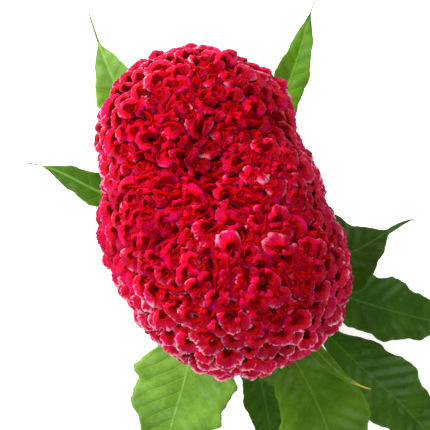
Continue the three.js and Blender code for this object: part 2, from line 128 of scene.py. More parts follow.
# Each leaf starts at the stem's surface at the height `start`, on the side `at`, and runs in the
# compass direction `heading`, which turns and sways on the way. It climbs at `rise` degrees and
# loses `droop` degrees by the tip. `stalk` and `body` are shares of its length.
LEAF_KEYS = ("start", "at", "heading", "turn", "sway", "rise", "droop", "length", "width",
             "stalk", "body", "skew", "fold", "roll", "wave", "tone")
LEAVES = {
    "upper_left": (207, 112, 140, -34, 2, 19, 24, 128, 27, 0.22, 0.8, 1.1, 0.3, -6, 1.6, "fresh"),
    "left": (200, 150, 148, 25, 15, 18, 34, 108, 18, 0.2, 0.9, 0.95, 0.3, 2, 1.2, "middle"),
    "upper_right": (201, 70, 62, 15, 0, 18, 24, 131, 19, 0.2, 0.86, 0.9, 0.28, 5, 2.2, "middle"),
    "right_curl": (190, 5, -5, 22, -21, 14, 18, 102, 50, 0.2, 0.8, 0.8, 0.2, -10, 2.4, "dark"),
    "young": (206, -62, -79, 68, 16, 22, 34, 102, 9, 0.12, 0.95, 1, 0.4, 0, 0.5, "middle"),
    "right_broad": (166, -12, -27, 20, 0, 12, 38, 140, 35, 0.3, 0.94, 0.95, 0.2, 0, 2, "dark"),
    "right_low": (138, -38, -23, -40, -9, 8, 30, 172, 40, 0.3, 0.9, 1.15, 0.2, 0, 2.6, "dark"),
    "low_mid": (182, -66, -71, 16, 11, 20, 45, 158, 48, 0.25, 0.92, 1.2, 0.2, 0, 2, "middle"),
    "low_dark": (146, -92, -82, 12, 7, 5, 35, 129, 24, 0.2, 0.9, 1, 0.2, 0, 1.6, "dark"),
    "low_left": (165, -120, -130, 52, 14, 15, 50, 137, 56, 0.3, 0.88, 0.72, 0.16, 0, 2, "fresh"),
    "back_left": (152, 150, 152, -14, 0, 6, 58, 88, 30, 0.22, 0.9, 0.9, 0.22, 0, 2, "dark"),
    "back": (174, 96, 98, 12, 0, 8, 60, 92, 30, 0.22, 0.9, 0.9, 0.22, 0, 2, "middle"),
    "back_right": (142, 42, 40, 14, 0, 5, 55, 70, 30, 0.22, 0.9, 0.9, 0.22, 0, 2, "dark"),
    "side_left": (180, 196, 200, -10, 0, 4, 62, 70, 28, 0.22, 0.9, 0.9, 0.22, 0, 2, "middle"),
    "low_back": (126, 118, 120, -16, 0, 12, 44, 70, 26, 0.22, 0.9, 0.85, 0.22, 0, 1.6, "dark"),
    "low_side": (126, 222, 220, 12, 0, 10, 52, 60, 24, 0.22, 0.9, 0.85, 0.22, 0, 1.6, "dark"),
}
# The three tones are partly the leaves' own greens and partly lit and shaded copies of one green:
# painted light on the leaves at the lit left, painted shade on those at the right, back and low
# down
LEAF_SLOTS = {"fresh": "fresh_leaf", "middle": "leaf", "dark": "dark_leaf"}
# How far a leaf's tip has turned yellow, as a share of its length
YELLOW_TIPS = {"young": 0.13, "left": 0.06}
# Leaves darker than others of their tone, partly their own deeper green and partly painted shade
DEEPER_AND_SHADED = {"left": 1.0, "upper_right": 0.25, "right_curl": 0.5, "right_broad": 0.2}


# Shader arithmetic


class Wire:
    """A node's output that takes part in arithmetic; each expression adds its Math nodes."""

    def __init__(self, nodes, socket):
        self.nodes, self.socket = nodes, socket

    def math(self, operation, *values):
        return self.nodes.add("ShaderNodeMath", {"operation": operation}, values)

    def __add__(self, other):
        return self.math("ADD", self, other)

    def __sub__(self, other):
        return self.math("SUBTRACT", self, other)

    def __rsub__(self, other):
        return self.math("SUBTRACT", other, self)

    def __mul__(self, other):
        return self.math("MULTIPLY", self, other)

    def __truediv__(self, other):
        return self.math("DIVIDE", self, other)

    def __abs__(self):
        return self.math("ABSOLUTE", self)

    __radd__ = __add__
    __rmul__ = __mul__


class Nodes:
    """The node tree of one material."""

    def __init__(self, name):
        self.material = bpy.data.materials.new(name)
        self.material.use_nodes = True
        self.tree = self.material.node_tree
        self.tree.nodes.clear()

    def add(self, kind, settings, sockets, output=0):
        """Adds a node: its settings first, then its sockets by place or by name."""
        node = self.tree.nodes.new(kind)
        for key, value in settings.items():
            setattr(node, key, value)
        pairs = sockets.items() if isinstance(sockets, dict) else enumerate(sockets)
        for key, value in pairs:
            if isinstance(value, Wire):
                self.tree.links.new(value.socket, node.inputs[key])
            else:
                node.inputs[key].default_value = value
        return None if output is None else Wire(self, node.outputs[output])

    def value(self, name):
        """A number that the mesh keeps for each of its points."""
        return self.add("ShaderNodeAttribute", {"attribute_name": name}, (), "Fac")

    def place(self):
        return self.add("ShaderNodeTexCoord", {}, (), "Object")

    def noise(self, size, detail=2.0, roughness=0.5, stretch=(1, 1, 1)):
        """Noise from 0 to 1 with features of a size in millimetres."""
        scaled = self.add("ShaderNodeVectorMath", {"operation": "MULTIPLY"},
                          (self.place(), stretch))
        return self.add("ShaderNodeTexNoise", {},
                        {"Vector": scaled, "Scale": 1 / (size * MM), "Detail": detail,
                         "Roughness": roughness})

    def streak(self, *place, detail=2.0):
        """Noise from 0 to 1 over numbers that the mesh keeps."""
        ray = self.add("ShaderNodeCombineXYZ", {}, place)
        return self.add("ShaderNodeTexNoise", {},
                        {"Vector": ray, "Scale": 1.0, "Detail": detail, "Roughness": 0.6})

    def cells(self, size, feature="F1"):
        """Distance in a cell pattern with cells of a size in millimetres."""
        return self.add("ShaderNodeTexVoronoi", {"feature": feature},
                        {"Vector": self.place(), "Scale": 1 / (size * MM)}, "Distance")

    def step(self, value, low, high):
        """A smooth step from 0 at low to 1 at high."""
        return self.add("ShaderNodeMapRange", {"interpolation_type": "SMOOTHSTEP"},
                        {"Value": value, "From Min": low, "From Max": high})

    def mix(self, share, first, second):
        """A colour between two colours."""
        first, second = [c if isinstance(c, Wire) else (*c, 1) for c in (first, second)]
        return self.add("ShaderNodeMix", {"data_type": "RGBA"},
                        {0: share, 6: first, 7: second}, 2)

    def finish(self, colour, roughness, relief=None, height=0.2, gloss=0.5, **constants):
        """The surface; relief has a height in millimetres, and gloss is the specular level."""
        sockets = {"Base Color": colour, "Roughness": roughness, "Specular IOR Level": gloss,
                   **constants}
        if relief is not None:
            sockets["Normal"] = self.add("ShaderNodeBump", {},
                                         {"Height": relief, "Distance": height * MM})
        surface = self.add("ShaderNodeBsdfPrincipled", {}, sockets)
        self.add("ShaderNodeOutputMaterial", {}, {"Surface": surface}, None)
        return self.material


# Shape helpers


def unit(vectors):
    length = np.linalg.norm(vectors, axis=-1, keepdims=True)
    return vectors / np.maximum(length, 1e-9)


def smooth_step(value, low, high):
    share = np.clip((value - low) / (high - low), 0, 1)
    return share * share * (3 - 2 * share)


def turns(sides):
    """Even steps round a circle."""
    return np.linspace(0, 2 * np.pi, sides, endpoint=False)


def upright(radius, turn, height):
    """Points at a distance from the upright axis, on a side of it and at a height."""
    return np.stack(np.broadcast_arrays(radius * np.cos(turn), radius * np.sin(turn), height), -1)


def levelled(vectors, normals):
    """Directions without what runs along the normals."""
    return unit(vectors - normals * (vectors * normals).sum(1, keepdims=True))


def stack_columns(columns, shape):
    """Columns of numbers of several kinds, joined kind by kind."""
    blank = np.zeros(shape)
    return [np.stack([blank + numbers for numbers in kind], -1) for kind in zip(*columns)]


def wander(points, size):
    """A smooth wander in space, between -1 and 1, for lumps and ruffles."""
    x, y, z = np.moveaxis(np.asarray(points) / size, -1, 0)
    slow = np.sin(1.7 * x + 2.3 * np.sin(y)) * np.cos(1.3 * z + y)
    quick = np.sin(3.1 * y + 1.9 * z + 2.1 * np.cos(2.2 * x))
    return 0.6 * slow + 0.4 * quick


def grid_faces(rows, columns, close_rows=False, close_columns=False):
    """Quads over a grid of points that is stored row by row."""
    row = np.arange(rows if close_rows else rows - 1)[:, None]
    column = np.arange(columns if close_columns else columns - 1)[None, :]
    next_row, next_column = (row + 1) % rows, (column + 1) % columns
    corners = (row * columns + column, row * columns + next_column,
               next_row * columns + next_column, next_row * columns + column)
    return np.stack([c.ravel() for c in corners], 1).tolist()


def tube_faces(rows, sides):
    """Quads round a tube that is stored ring by ring, and a cap on each end."""
    last = (rows - 1) * sides
    return [*grid_faces(rows, sides, close_columns=True), list(range(sides)),
            list(range(last, last + sides))]


def border(rows, columns):
    """The places round the border of a grid, in order."""
    grid = np.arange(rows * columns).reshape(rows, columns)
    return [*grid[0, :-1].tolist(), *grid[:-1, -1].tolist(),
            *grid[-1, :0:-1].tolist(), *grid[:0:-1, 0].tolist()]


def add_object(name, data):
    made = bpy.data.objects.new(name, data)
    bpy.context.scene.collection.objects.link(made)
    return made


def add_piece(name, points, faces, material, slot, replaced=(), **values):
    """Makes a piece from points in millimetres, with the numbers kept for its points."""
    mesh = bpy.data.meshes.new(name)
    mesh.from_pydata((np.asarray(points) * MM).tolist(), [], faces)
    for key, numbers in values.items():
        kept = mesh.attributes.new(key, "FLOAT", "POINT")
        kept.data.foreach_set("value", np.asarray(numbers, np.float32).ravel())
    shape = bmesh.new()
    shape.from_mesh(mesh)
    bmesh.ops.recalc_face_normals(shape, faces=shape.faces)
    for face in shape.faces:
        face.smooth = True
    shape.to_mesh(mesh)
    shape.free()
    mesh.materials.append(material)
    piece = add_object(name, mesh)
    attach(piece, "root")
    if replaced:
        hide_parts(*replaced)
    return piece


# The dome and the ribbon's line


def dome_radius(directions):
    """How far the dome is from the head's centre in each direction."""
    total = np.zeros(directions.shape[:-1])
    for at, radii in LOBES:
        shift, aim = np.divide(at, radii), directions / radii
        a, b, c = (aim ** 2).sum(-1), aim @ shift, (shift ** 2).sum() - 1
        total += ((b + np.sqrt(b * b - a * c)) / a) ** LOBE_BLEND
    radius = total ** (1 / LOBE_BLEND)
    for aim, width, swell in DENTS:
        radius = radius + swell * np.exp((directions @ unit(np.array(aim, float)) - 1) / width)
    return radius


def onto_dome(points, lift=0.0):
    directions = unit(points)
    return directions * (dome_radius(directions) + lift)[..., None]


def dome_normals(points):
    """The dome's own upright at each point, from a short step over it each way."""
    reach = 0.07
    upward = unit(points)
    first = unit(np.cross(upward, (0.3, 0.2, 1.0)))
    second = np.cross(upward, first)
    one = onto_dome(upward + reach * first) - onto_dome(upward - reach * first)
    two = onto_dome(upward + reach * second) - onto_dome(upward - reach * second)
    return unit(np.cross(one, two))


def steepness(normals):
    """0 where the dome faces up, 1 where it faces the side or down."""
    return smooth_step(1 - normals[..., 2], 0.15, 0.8)


def close_pairs(points, reach):
    """Pairs of points in the same or neighbouring cells of a given reach."""
    span = 1024
    cell = np.floor(points / reach).astype(np.int64) + span // 2
    key = (cell[:, 0] * span + cell[:, 1]) * span + cell[:, 2]
    order = np.argsort(key, kind="stable")
    ranked = key[order]
    ones, others = [], []
    for dx in (-1, 0, 1):
        for dy in (-1, 0, 1):
            aim = key + (dx * span + dy) * span
            start = np.searchsorted(ranked, aim - 1, "left")
            many = np.searchsorted(ranked, aim + 1, "right") - start
            place = np.arange(many.sum()) - np.repeat(np.cumsum(many) - many, many)
            ones.append(np.repeat(np.arange(len(points)), many))
            others.append(order[np.repeat(start, many) + place])
    return np.concatenate(ones), np.concatenate(others)


def distant_pairs(line, reach, skipped):
    """Close pairs of nodes that are more than so many nodes apart along the closed line."""
    i, j = close_pairs(line, reach)
    along = np.abs(i - j)
    apart = np.minimum(along, len(line) - along) > skipped
    return i[apart], j[apart]


def shove_apart(moved, points, i, j, kept, strength):
    """Moves the points of each pair that is nearer than it keeps away from each other."""
    away = points[i] - points[j]
    length = np.sqrt(np.einsum("ij,ij->i", away, away))
    near = length < kept[i]
    i, away, length = i[near], away[near], np.maximum(length[near], 0.01)
    shove = away * (strength(length, kept[i]) / length)[:, None]
    for axis in range(3):
        moved[:, axis] += np.bincount(i, shove[:, axis], len(points))


def stray_directions(points):
    """Level directions that wander from place to place."""
    return np.stack([wander(points + 40, 6), wander(points - 40, 6), 0 * points[:, 0]], 1)


def relax_line(line, spacing, habit):
    """Lets the line push itself apart, pull along its length and straighten, on the dome.

    The distance that it keeps varies from place to place, so some folds are wide and some small.
    """
    before, after = np.roll(line, 1, 0), np.roll(line, -1, 0)
    moved = line + habit.bend * ((before + after) / 2 - line)
    for other in (before, after):
        away = other - line
        length = np.maximum(np.linalg.norm(away, axis=1, keepdims=True), 0.01)
        moved += away * (habit.spring * (length - habit.step) / length)
    kept = spacing * (1 + VARIATION * wander(line, VARIATION_SIZE))
    shove_apart(moved, line, *distant_pairs(line, spacing * (1 + VARIATION), BONDED), kept,
                lambda length, keep: habit.push * (1 - length / keep))
    moved[:, 2] = np.maximum(moved[:, 2], SKIRT)
    return onto_dome(moved)


def lengthen_line(line, random, habit):
    """Adds nodes where the line is stretched, and here and there by chance."""
    after = np.roll(line, -1, 0)
    stretched = np.linalg.norm(after - line, axis=1) > STRETCHED * habit.step
    where = np.flatnonzero(stretched | (random.random(len(line)) < habit.growth))
    room = max(habit.limit - len(line), 0)
    if len(where) > room:
        where = np.sort(random.choice(where, room, replace=False))
    middle = (line[where] + after[where]) / 2
    middle = onto_dome(middle + habit.stray * (random.random(middle.shape) - 0.5))
    return np.insert(line, where + 1, middle, axis=0)


def grow_line(line, random, spacing, habit):
    for count in range(habit.rounds + habit.settle):
        line = relax_line(line, spacing, habit)
        if count < habit.rounds:
            line = lengthen_line(line, random, habit)
    return line


def grow_ribbon(random, fold_spacing, edge_spacing):
    """A small oval near the top grows until its folds fill the dome, and then into small loops."""
    turn = turns(90)
    oval = np.stack([0.5 * np.cos(turn), 1.8 * np.sin(turn), np.ones_like(turn)], 1)
    line = grow_line(onto_dome(oval), random, fold_spacing, FOLDS)
    after = np.roll(line, -1, 0)
    line = np.stack([line, (line + after) / 2], 1).reshape(-1, 3)
    return grow_line(line, random, edge_spacing, RUFFLES)


def even_line(line, count):
    """The closed line again, with its nodes at even distances."""
    loop = np.vstack([line, line[:1]])
    length = np.append(0, np.cumsum(np.linalg.norm(np.diff(loop, axis=0), axis=1)))
    places = np.linspace(0, length[-1], count, endpoint=False)
    return np.stack([np.interp(places, length, loop[:, axis]) for axis in range(3)], 1)


def smooth_line(values, times):
    for _ in range(times):
        values = (np.roll(values, 1, 0) + 2 * values + np.roll(values, -1, 0)) / 4
    return values


class Crest:
    """The ribbon's edge, its directions and the flanks that slope from it on both sides.

    A flank that faces outward is wide and ends in a free lip. One that faces the head's middle
    drops steeply, so the loops read as small petals outside and as dark hollows inside.
    """

    NODES = 4800
    # Half the edge's width, its height over the flanks, and the length of a petal along it
    SHOULDER, BEAD, PETAL = 0.42, 0.62, 7.5
    # How far the ribbon's edge lies under the dome, where that is level and how much more
    # where it is steep
    SINK, STEEP_SINK = 2.2, 4.6
    # How far from the crown the petals face fully outward
    CROWN = 45.0
    # A flank's width, how much more it has on the outside and less on the inside of a loop, the
    # least, and what it leaves free before the next fold
    WIDTH, WIDER, NARROWER, NARROWEST, FREE = 3.4, 4.2, 1.2, 0.8, 0.2
    # Nodes along the ribbon that don't count as the next fold, how far along it a node still
    # is beside another, and how near it may be
    SKIPPED, BESIDE, NEAREST = 4, 0.7, 0.3

    def __init__(self, fold_spacing, edge_spacing, depth):
        random = np.random.default_rng(11)
        line = grow_ribbon(random, fold_spacing, edge_spacing)
        self.edge = onto_dome(smooth_line(even_line(smooth_line(line, 1), self.NODES), 3))
        self.upward = unit(dome_normals(self.edge) + unit(self.edge))
        forward = unit(np.roll(self.edge, -1, 0) - np.roll(self.edge, 1, 0))
        self.side = unit(smooth_line(np.cross(forward, self.upward), 2))
        self.forward = unit(np.cross(self.upward, self.side))
        # Which way the small petals face: away from the crown, with some straying
        stray = 0.6 * stray_directions(self.edge)
        facing = self.edge * (1, 1, 0) / self.CROWN + stray - (0, 0, 0.35)
        facing = levelled(facing, self.upward)
        self.outward = smooth_line((self.side * facing).sum(1), 2)
        # How much a loop bulges to its positive side
        reach = 5
        chord = (np.roll(self.edge, -reach, 0) + np.roll(self.edge, reach, 0)) / 2
        bulge = ((self.edge - chord) * self.side).sum(1)
        self.bulge = np.clip(smooth_line(bulge, 2) / 1.5, -1, 1)
        self.height = (0.9 * wander(self.edge, 6) + 0.4 * wander(self.edge, 2.2) - self.SINK
                       - self.STEEP_SINK * steepness(self.upward))
        self.depth = depth
        self.along = np.arange(self.NODES) * np.linalg.norm(self.edge[1] - self.edge[0])
        # The flanks are gathered into petals: 1 in the middle of each, 0 at the creases
        pace = 1 + 0.35 * wander(self.edge, 7)
        count = round(self.along[-1] / self.PETAL)
        phase = np.pi * count * np.cumsum(pace) / pace.sum()
        self.petal = smooth_line(np.abs(np.sin(phase)), 1)
        self.rooms = dict(zip((1, -1), self.find_rooms()))

    def find_rooms(self, reach=7.0):
        """How far the next fold is on each side of each place of the line, up to a reach."""
        i, j = distant_pairs(self.edge, reach, self.SKIPPED)
        away = self.edge[j] - self.edge[i]
        across = (away * self.side[i]).sum(1)
        beside = np.abs((away * self.forward[i]).sum(1)) < self.BESIDE
        for sign in (1, -1):
            chosen = beside & (sign * across > self.NEAREST)
            room = np.full(self.NODES, reach)
            np.minimum.at(room, i[chosen], sign * across[chosen])
            yield smooth_line(room, 4)

    def tip(self, sign):
        """How much a flank is the outside of an outward loop."""
        return smooth_line(sign * self.outward * (0.55 + 0.45 * sign * self.bulge), 3)

    def flank(self, sign, share, lift=0.0):
        """Points of one flank at a share of its way from the edge down to its lip."""
        outward = sign * self.outward
        width = self.WIDTH + np.where(outward > 0, self.WIDER, self.NARROWER) * outward
        width = width * (0.6 + 0.4 * self.petal ** 0.7) * (1 + 0.08 * wander(self.edge, 1.4))
        width = np.clip(np.minimum(width, self.rooms[sign] - self.FREE), self.NARROWEST, None)
        crease = 1 - self.petal
        drop = self.depth * (1 - 0.3 * np.clip(outward, 0, 1)) * share ** 1.15
        drop = drop + 1.1 * crease * share ** 0.6
        shift = 0.8 * (self.petal - 0.5) * np.clip(self.outward * 2, -1, 1)
        across = sign * (self.SHOULDER + share * (width - self.SHOULDER)) + shift
        height = self.height - self.BEAD - drop + lift
        return onto_dome(self.edge) + self.side * across[:, None] + self.upward * height[:, None]


_crest = {}


def grown_crest(context):
    """Grows the crest once for the pieces that share it."""
    sizes = context.scene.cockscomb_crest
    if "crest" not in _crest:
        _crest["crest"] = Crest(sizes.fold_spacing / MM, sizes.edge_spacing / MM,
                                sizes.wall_depth / MM)
    return _crest["crest"]


# Settings


def colour_setting(name, description, default):
    return FloatVectorProperty(name=name, description=description, default=default,
                               subtype="COLOR", size=3, min=0, max=1)


def length_setting(name, description, default):
    return FloatProperty(name=name, description=description, default=default * MM,
                         subtype="DISTANCE", unit="LENGTH", min=0)


def srgb(*levels):
    """A colour given in display levels from 0 to 255."""
    return tuple((level / 255) ** 2.2 for level in levels)


def shade(colour, by, add=0.0):
    """A colour made darker or lighter, at most white."""
    return tuple(np.minimum(np.multiply(colour, by) + add, 1.0).tolist())


class CrestSettings(bpy.types.PropertyGroup):
    """Sizes and colours of the flower's crest."""

    fold_spacing: length_setting("Fold spacing", "Distance between the main folds", 8.6)
    edge_spacing: length_setting("Edge spacing", "Distance that the ruffled edge keeps", 7.0)
    wall_depth: length_setting("Wall depth", "Depth of the folds", 3.2)
    cup_spacing: length_setting("Cup spacing", "Distance between the ruffled cups", 13.2)
    core_depth: length_setting("Core depth", "Depth of the body under the folds", 5.6)
    edge_colour: colour_setting("Edge", "The velvety edge", srgb(160, 0, 10))
    wall_colour: colour_setting("Wall", "The walls of the folds", srgb(140, 0, 24))
    fold_colour: colour_setting("Fold", "The flanks of the redder cups", srgb(180, 0, 26))
    # The fans' magenta is partly their own colour and partly painted sheen of sky light on red
    cup_colour: colour_setting("Cup", "The fans of the outer cups", srgb(200, 0, 88))
    # The darker cups are partly darker by chance and partly painted shade at the head's right and
    # waist
    shade_colour: colour_setting("Shade", "The darker cups", srgb(136, 0, 40))
    # Painted shade: the dark depth between the folds, inside the cups and on the core's top
    hollow_shade_colour: colour_setting("Hollow", "The depth between the folds", srgb(80, 0, 12))
    fringe_colour: colour_setting("Fringe", "The pale lips and scales", srgb(246, 168, 184))


class LeafSettings(bpy.types.PropertyGroup):
    """Sizes and colours of the leaves."""

    vein_spacing: length_setting("Vein spacing", "Distance between side veins", 8.5)
    # Fresh, middle and dark are partly lit and shaded copies: painted light on the left leaves,
    # painted shade on the right and low ones
    fresh_colour: colour_setting("Fresh", "The light leaves", srgb(112, 154, 60))
    middle_colour: colour_setting("Middle", "The middle leaves", srgb(88, 132, 26))
    dark_colour: colour_setting("Dark", "The shaded leaves", srgb(64, 102, 20))
    tip_colour: colour_setting("Tip", "Yellowed tips", srgb(240, 206, 60))


class StemSettings(bpy.types.PropertyGroup):
    """Colours of the stem."""

    stem_colour: colour_setting("Stem", "The stem's flanks", srgb(150, 170, 92))
    rib_colour: colour_setting("Ribs", "The stem's reddish ribs", srgb(168, 62, 74))


class PotSettings(bpy.types.PropertyGroup):
    """Colours of the pot and the soil."""

    clay_colour: colour_setting("Clay", "The fired clay", srgb(192, 108, 70))
    bloom_colour: colour_setting("Bloom", "Pale salts on the clay", srgb(214, 178, 150))
    soil_colour: colour_setting("Soil", "The potting soil", srgb(66, 46, 34))
    crumbs: IntProperty(name="Crumbs", description="Loose crumbs on the soil",
                        default=900, min=0)


class StudioSettings(bpy.types.PropertyGroup):
    """The camera, the lights and the floor."""

    distance: length_setting("Camera distance", "From the camera to its target", 700)
    elevation: FloatProperty(name="Elevation", description="The camera's height angle",
                             default=math.radians(80), subtype="ANGLE", unit="ROTATION")
    view_width: length_setting("View width", "Width that the camera sees at its target", 215)
    key_power: FloatProperty(name="Key light", description="Power in watts", default=32.4)
    fill_power: FloatProperty(name="Fill light", description="Power in watts", default=2.2)
    sky: FloatProperty(name="Sky", description="Strength of the light all round", default=0.75)
    floor_colour: colour_setting("Floor", "The pale floor", (0.94, 0.94, 0.94))


# Materials


def crest_material(sizes):
    nodes = Nodes("crest")
    off, share, tip = nodes.value("off"), nodes.value("share"), nodes.value("tip")
    patch = nodes.noise(9, 2)
    grain = nodes.noise(0.4, 2, 0.7)
    streak = nodes.streak(nodes.value("along") / 0.55, share * 0.8, 0.0)
    outer = nodes.step(tip + 0.4 * (patch - 0.5), -0.15, 0.45)
    # Painted shade: the inner flanks darken towards their foot
    deep = nodes.step(share, 0.1, 0.9)
    inner = nodes.mix(deep, sizes.wall_colour, sizes.hollow_shade_colour)
    # The outer flanks turn from crimson to the fans' magenta, which is partly painted sheen
    petal = nodes.mix(nodes.step(share + 0.5 * (streak - 0.5), 0.1, 0.7),
                      sizes.wall_colour, sizes.cup_colour)
    colour = nodes.mix(outer, inner, petal)
    pale = (nodes.step(tip + 0.7 * (patch - 0.5), 0.3, 0.85)
            * nodes.step(share + 0.6 * (streak - 0.5), 0.45, 1.0))
    colour = nodes.mix(pale * 0.7, colour, sizes.fringe_colour)
    band = nodes.step(off + 0.4 * (grain - 0.5), 1.6, 0.4)
    colour = nodes.mix(band, colour, sizes.edge_colour)
    # Painted shade in the creases between the streaks
    crease = nodes.step(streak, 0.5, 0.25) * (1 - band) * 0.35
    colour = nodes.mix(crease, colour, shade(sizes.wall_colour, 0.6))
    relief = grain * 0.4 + streak * 0.6
    return nodes.finish(colour, 0.6 + 0.25 * grain, relief, 0.25, gloss=0.03)


def cup_material(sizes):
    nodes = Nodes("cup")
    share, off, pale = nodes.value("share"), nodes.value("off"), nodes.value("pale")
    inside = nodes.value("inside")
    streak = nodes.streak(nodes.value("turn") * 1.1, share * 0.7, nodes.value("order") * 3.7,
                          detail=3.0)
    grain = nodes.noise(0.4, 2, 0.7)
    patch = nodes.noise(8, 2)
    # The fans' magenta is partly painted sheen
    fresh = nodes.mix(0.35 + 0.65 * nodes.step(patch, 0.3, 0.7), sizes.fold_colour,
                      sizes.cup_colour)
    body = nodes.mix(nodes.step(share + 0.5 * (streak - 0.5), 0.1, 0.8),
                     sizes.fold_colour, fresh)
    # The cups' darkness is partly chance and partly painted shade at the right and the waist
    body = nodes.mix(nodes.value("tone") * 0.75, body, sizes.shade_colour)
    # Painted shade: the inside of each cup darkens towards its bottom
    hollow = nodes.mix(nodes.step(share + 0.3 * (patch - 0.5), 0.15, 0.85),
                       sizes.wall_colour, sizes.hollow_shade_colour)
    body = nodes.mix(nodes.step(inside, 0.4, 0.6), body, hollow)
    # The lips' pale mask leans to the lit left side: partly painted light
    light = nodes.step(share + 1.1 * (streak - 0.5), 0.68, 1.05) * pale
    fleck = nodes.step(streak, 0.54, 0.8) * nodes.step(share, 0.1, 0.6) * (0.05 + 0.3 * pale)
    body = nodes.mix(fleck * (1 - inside), body, sizes.fringe_colour)
    colour = nodes.mix(light * (1 - inside), body, sizes.fringe_colour)
    edge = nodes.step(off + 0.4 * (grain - 0.5), 1.4, 0.4)
    colour = nodes.mix(edge, colour, sizes.edge_colour)
    # Painted shade in the creases between the streaks
    crease = nodes.step(streak, 0.5, 0.2) * 0.6
    colour = nodes.mix(crease, colour, shade(sizes.wall_colour, 0.55))
    relief = grain * 0.3 + streak * 0.7
    return nodes.finish(colour, 0.6 + 0.25 * grain, relief, 0.45, gloss=0.04)


def core_material(sizes):
    nodes = Nodes("core")
    chaff = nodes.value("chaff")
    grain = nodes.noise(0.8, 3, 0.6)
    scales = nodes.cells(1.5)
    patch = nodes.noise(11, 2)
    # The flesh's magenta is partly painted sheen
    flesh = nodes.mix(patch, sizes.fold_colour, sizes.cup_colour)
    groove = nodes.value("groove")
    # Painted shade: the pleats' grooves lose their pale scales and darken towards the wall colour
    pale = nodes.step(scales + 0.3 * grain, 0.35, 0.95) * (1 - 0.85 * groove)
    pale = nodes.mix(pale, flesh, sizes.fringe_colour)
    pale = nodes.mix(nodes.step(groove, 0.55, 1.0) * 0.6, pale, sizes.wall_colour)
    # Painted shade: above the chaffy underside, the core between the folds is the dark hollow
    # colour
    colour = nodes.mix(chaff, sizes.hollow_shade_colour, pale)
    return nodes.finish(colour, 0.6 + 0.25 * grain, scales + grain * 0.5, 0.5, gloss=0.05)


def leaf_material(name, colour, sizes):
    nodes = Nodes(name)
    along, across = nodes.value("along"), abs(nodes.value("across"))
    margin, under, yellow = nodes.value("margin"), nodes.value("under"), nodes.value("yellow")
    patch = nodes.noise(16, 3)
    mottle = nodes.noise(2.4, 3, 0.6)
    grain = nodes.noise(0.5, 2)
    midrib = nodes.step(across, 0.9, 0.3)
    course = (along - across * 0.8 + 3 * (patch - 0.5)) / (sizes.vein_spacing / MM)
    gap = nodes.add("ShaderNodeMath", {"operation": "PINGPONG"}, (course, 0.5))
    vein = nodes.step(gap, 0.075, 0.015) * nodes.step(margin, 1.0, 0.55)
    net = nodes.step(nodes.cells(2.6, "DISTANCE_TO_EDGE"), 0.09, 0.02)
    light, deep = shade(colour, 1.5, 0.03), shade(colour, (0.55, 0.6, 0.3))
    blade = nodes.mix(nodes.step(patch + 0.35 * (mottle - 0.5), 0.3, 0.7), deep, colour)
    blade = nodes.mix(net * 0.12, blade, deep)
    # Painted shade: darker near the side veins, where the blade dips between its bulges
    blade = nodes.mix(nodes.step(gap, 0.4, 0.02) * 0.28, blade, deep)
    # Painted sheen: grey-blue sky light in broad patches on the bulges between the side veins
    painted_sheen = nodes.step(nodes.noise(24, 2) + 0.3 * (mottle - 0.5), 0.42, 0.7)
    blade = nodes.mix(painted_sheen * nodes.step(gap, 0.0, 0.45) * 0.32, blade, srgb(112, 146, 98))
    # Partly painted shade: some leaves darkened beyond their tone
    blade = nodes.mix(nodes.value("deeper"), blade, shade(colour, (0.36, 0.42, 0.12)))
    veins = nodes.add("ShaderNodeMath", {"operation": "MAXIMUM"}, (midrib * 0.36, vein * 0.13))
    blade = nodes.mix(veins, blade, light)
    blade = nodes.mix(under * 0.7, blade, shade(colour, 0.62, (0.05, 0.09, 0.03)))
    blade = nodes.mix(nodes.step(margin, 0.9, 1.0) * 0.25, blade, light)
    blade = nodes.mix(yellow, blade, sizes.tip_colour)
    relief = mottle * 0.35 + grain * 0.15 - vein * 0.5 - net * 0.12 + midrib * 0.5
    return nodes.finish(blade, 0.42 + 0.2 * mottle, relief, 0.3, gloss=0.1)


def stem_material(sizes):
    nodes = Nodes("stem")
    rib, height = nodes.value("rib"), nodes.value("height")
    streak = nodes.noise(1.6, 3, 0.6, (1, 1, 0.08))
    grain = nodes.noise(0.6, 2)
    red = nodes.step(rib + 1.4 * (streak - 0.5), -0.1, 0.9) * nodes.step(height, 0.0, 0.75)
    colour = nodes.mix(red * 0.85, sizes.stem_colour, sizes.rib_colour)
    brown = nodes.step(height + 0.2 * (streak - 0.5), 0.3, 0.1)
    colour = nodes.mix(brown * 0.7, colour, srgb(122, 96, 58))
    return nodes.finish(colour, 0.45 + 0.25 * streak, streak + grain * 0.3, 0.35, gloss=0.4)


def soil_material(sizes):
    nodes = Nodes("soil")
    crumb = nodes.noise(3.2, 4, 0.65)
    grain = nodes.noise(0.8, 3, 0.7)
    fibre = nodes.noise(1.2, 3, 0.6, (0.2, 1, 1))
    soil = sizes.soil_colour
    colour = nodes.mix(nodes.step(crumb, 0.35, 0.65), shade(soil, 0.4), soil)
    colour = nodes.mix(nodes.step(fibre, 0.6, 0.72) * 0.6, colour, shade(soil, 2.1, 0.01))
    colour = nodes.mix(nodes.value("mineral"), colour, srgb(226, 220, 206))
    return nodes.finish(colour, 0.85 + 0.15 * grain, crumb + 0.6 * grain, 1.0, gloss=0.2)


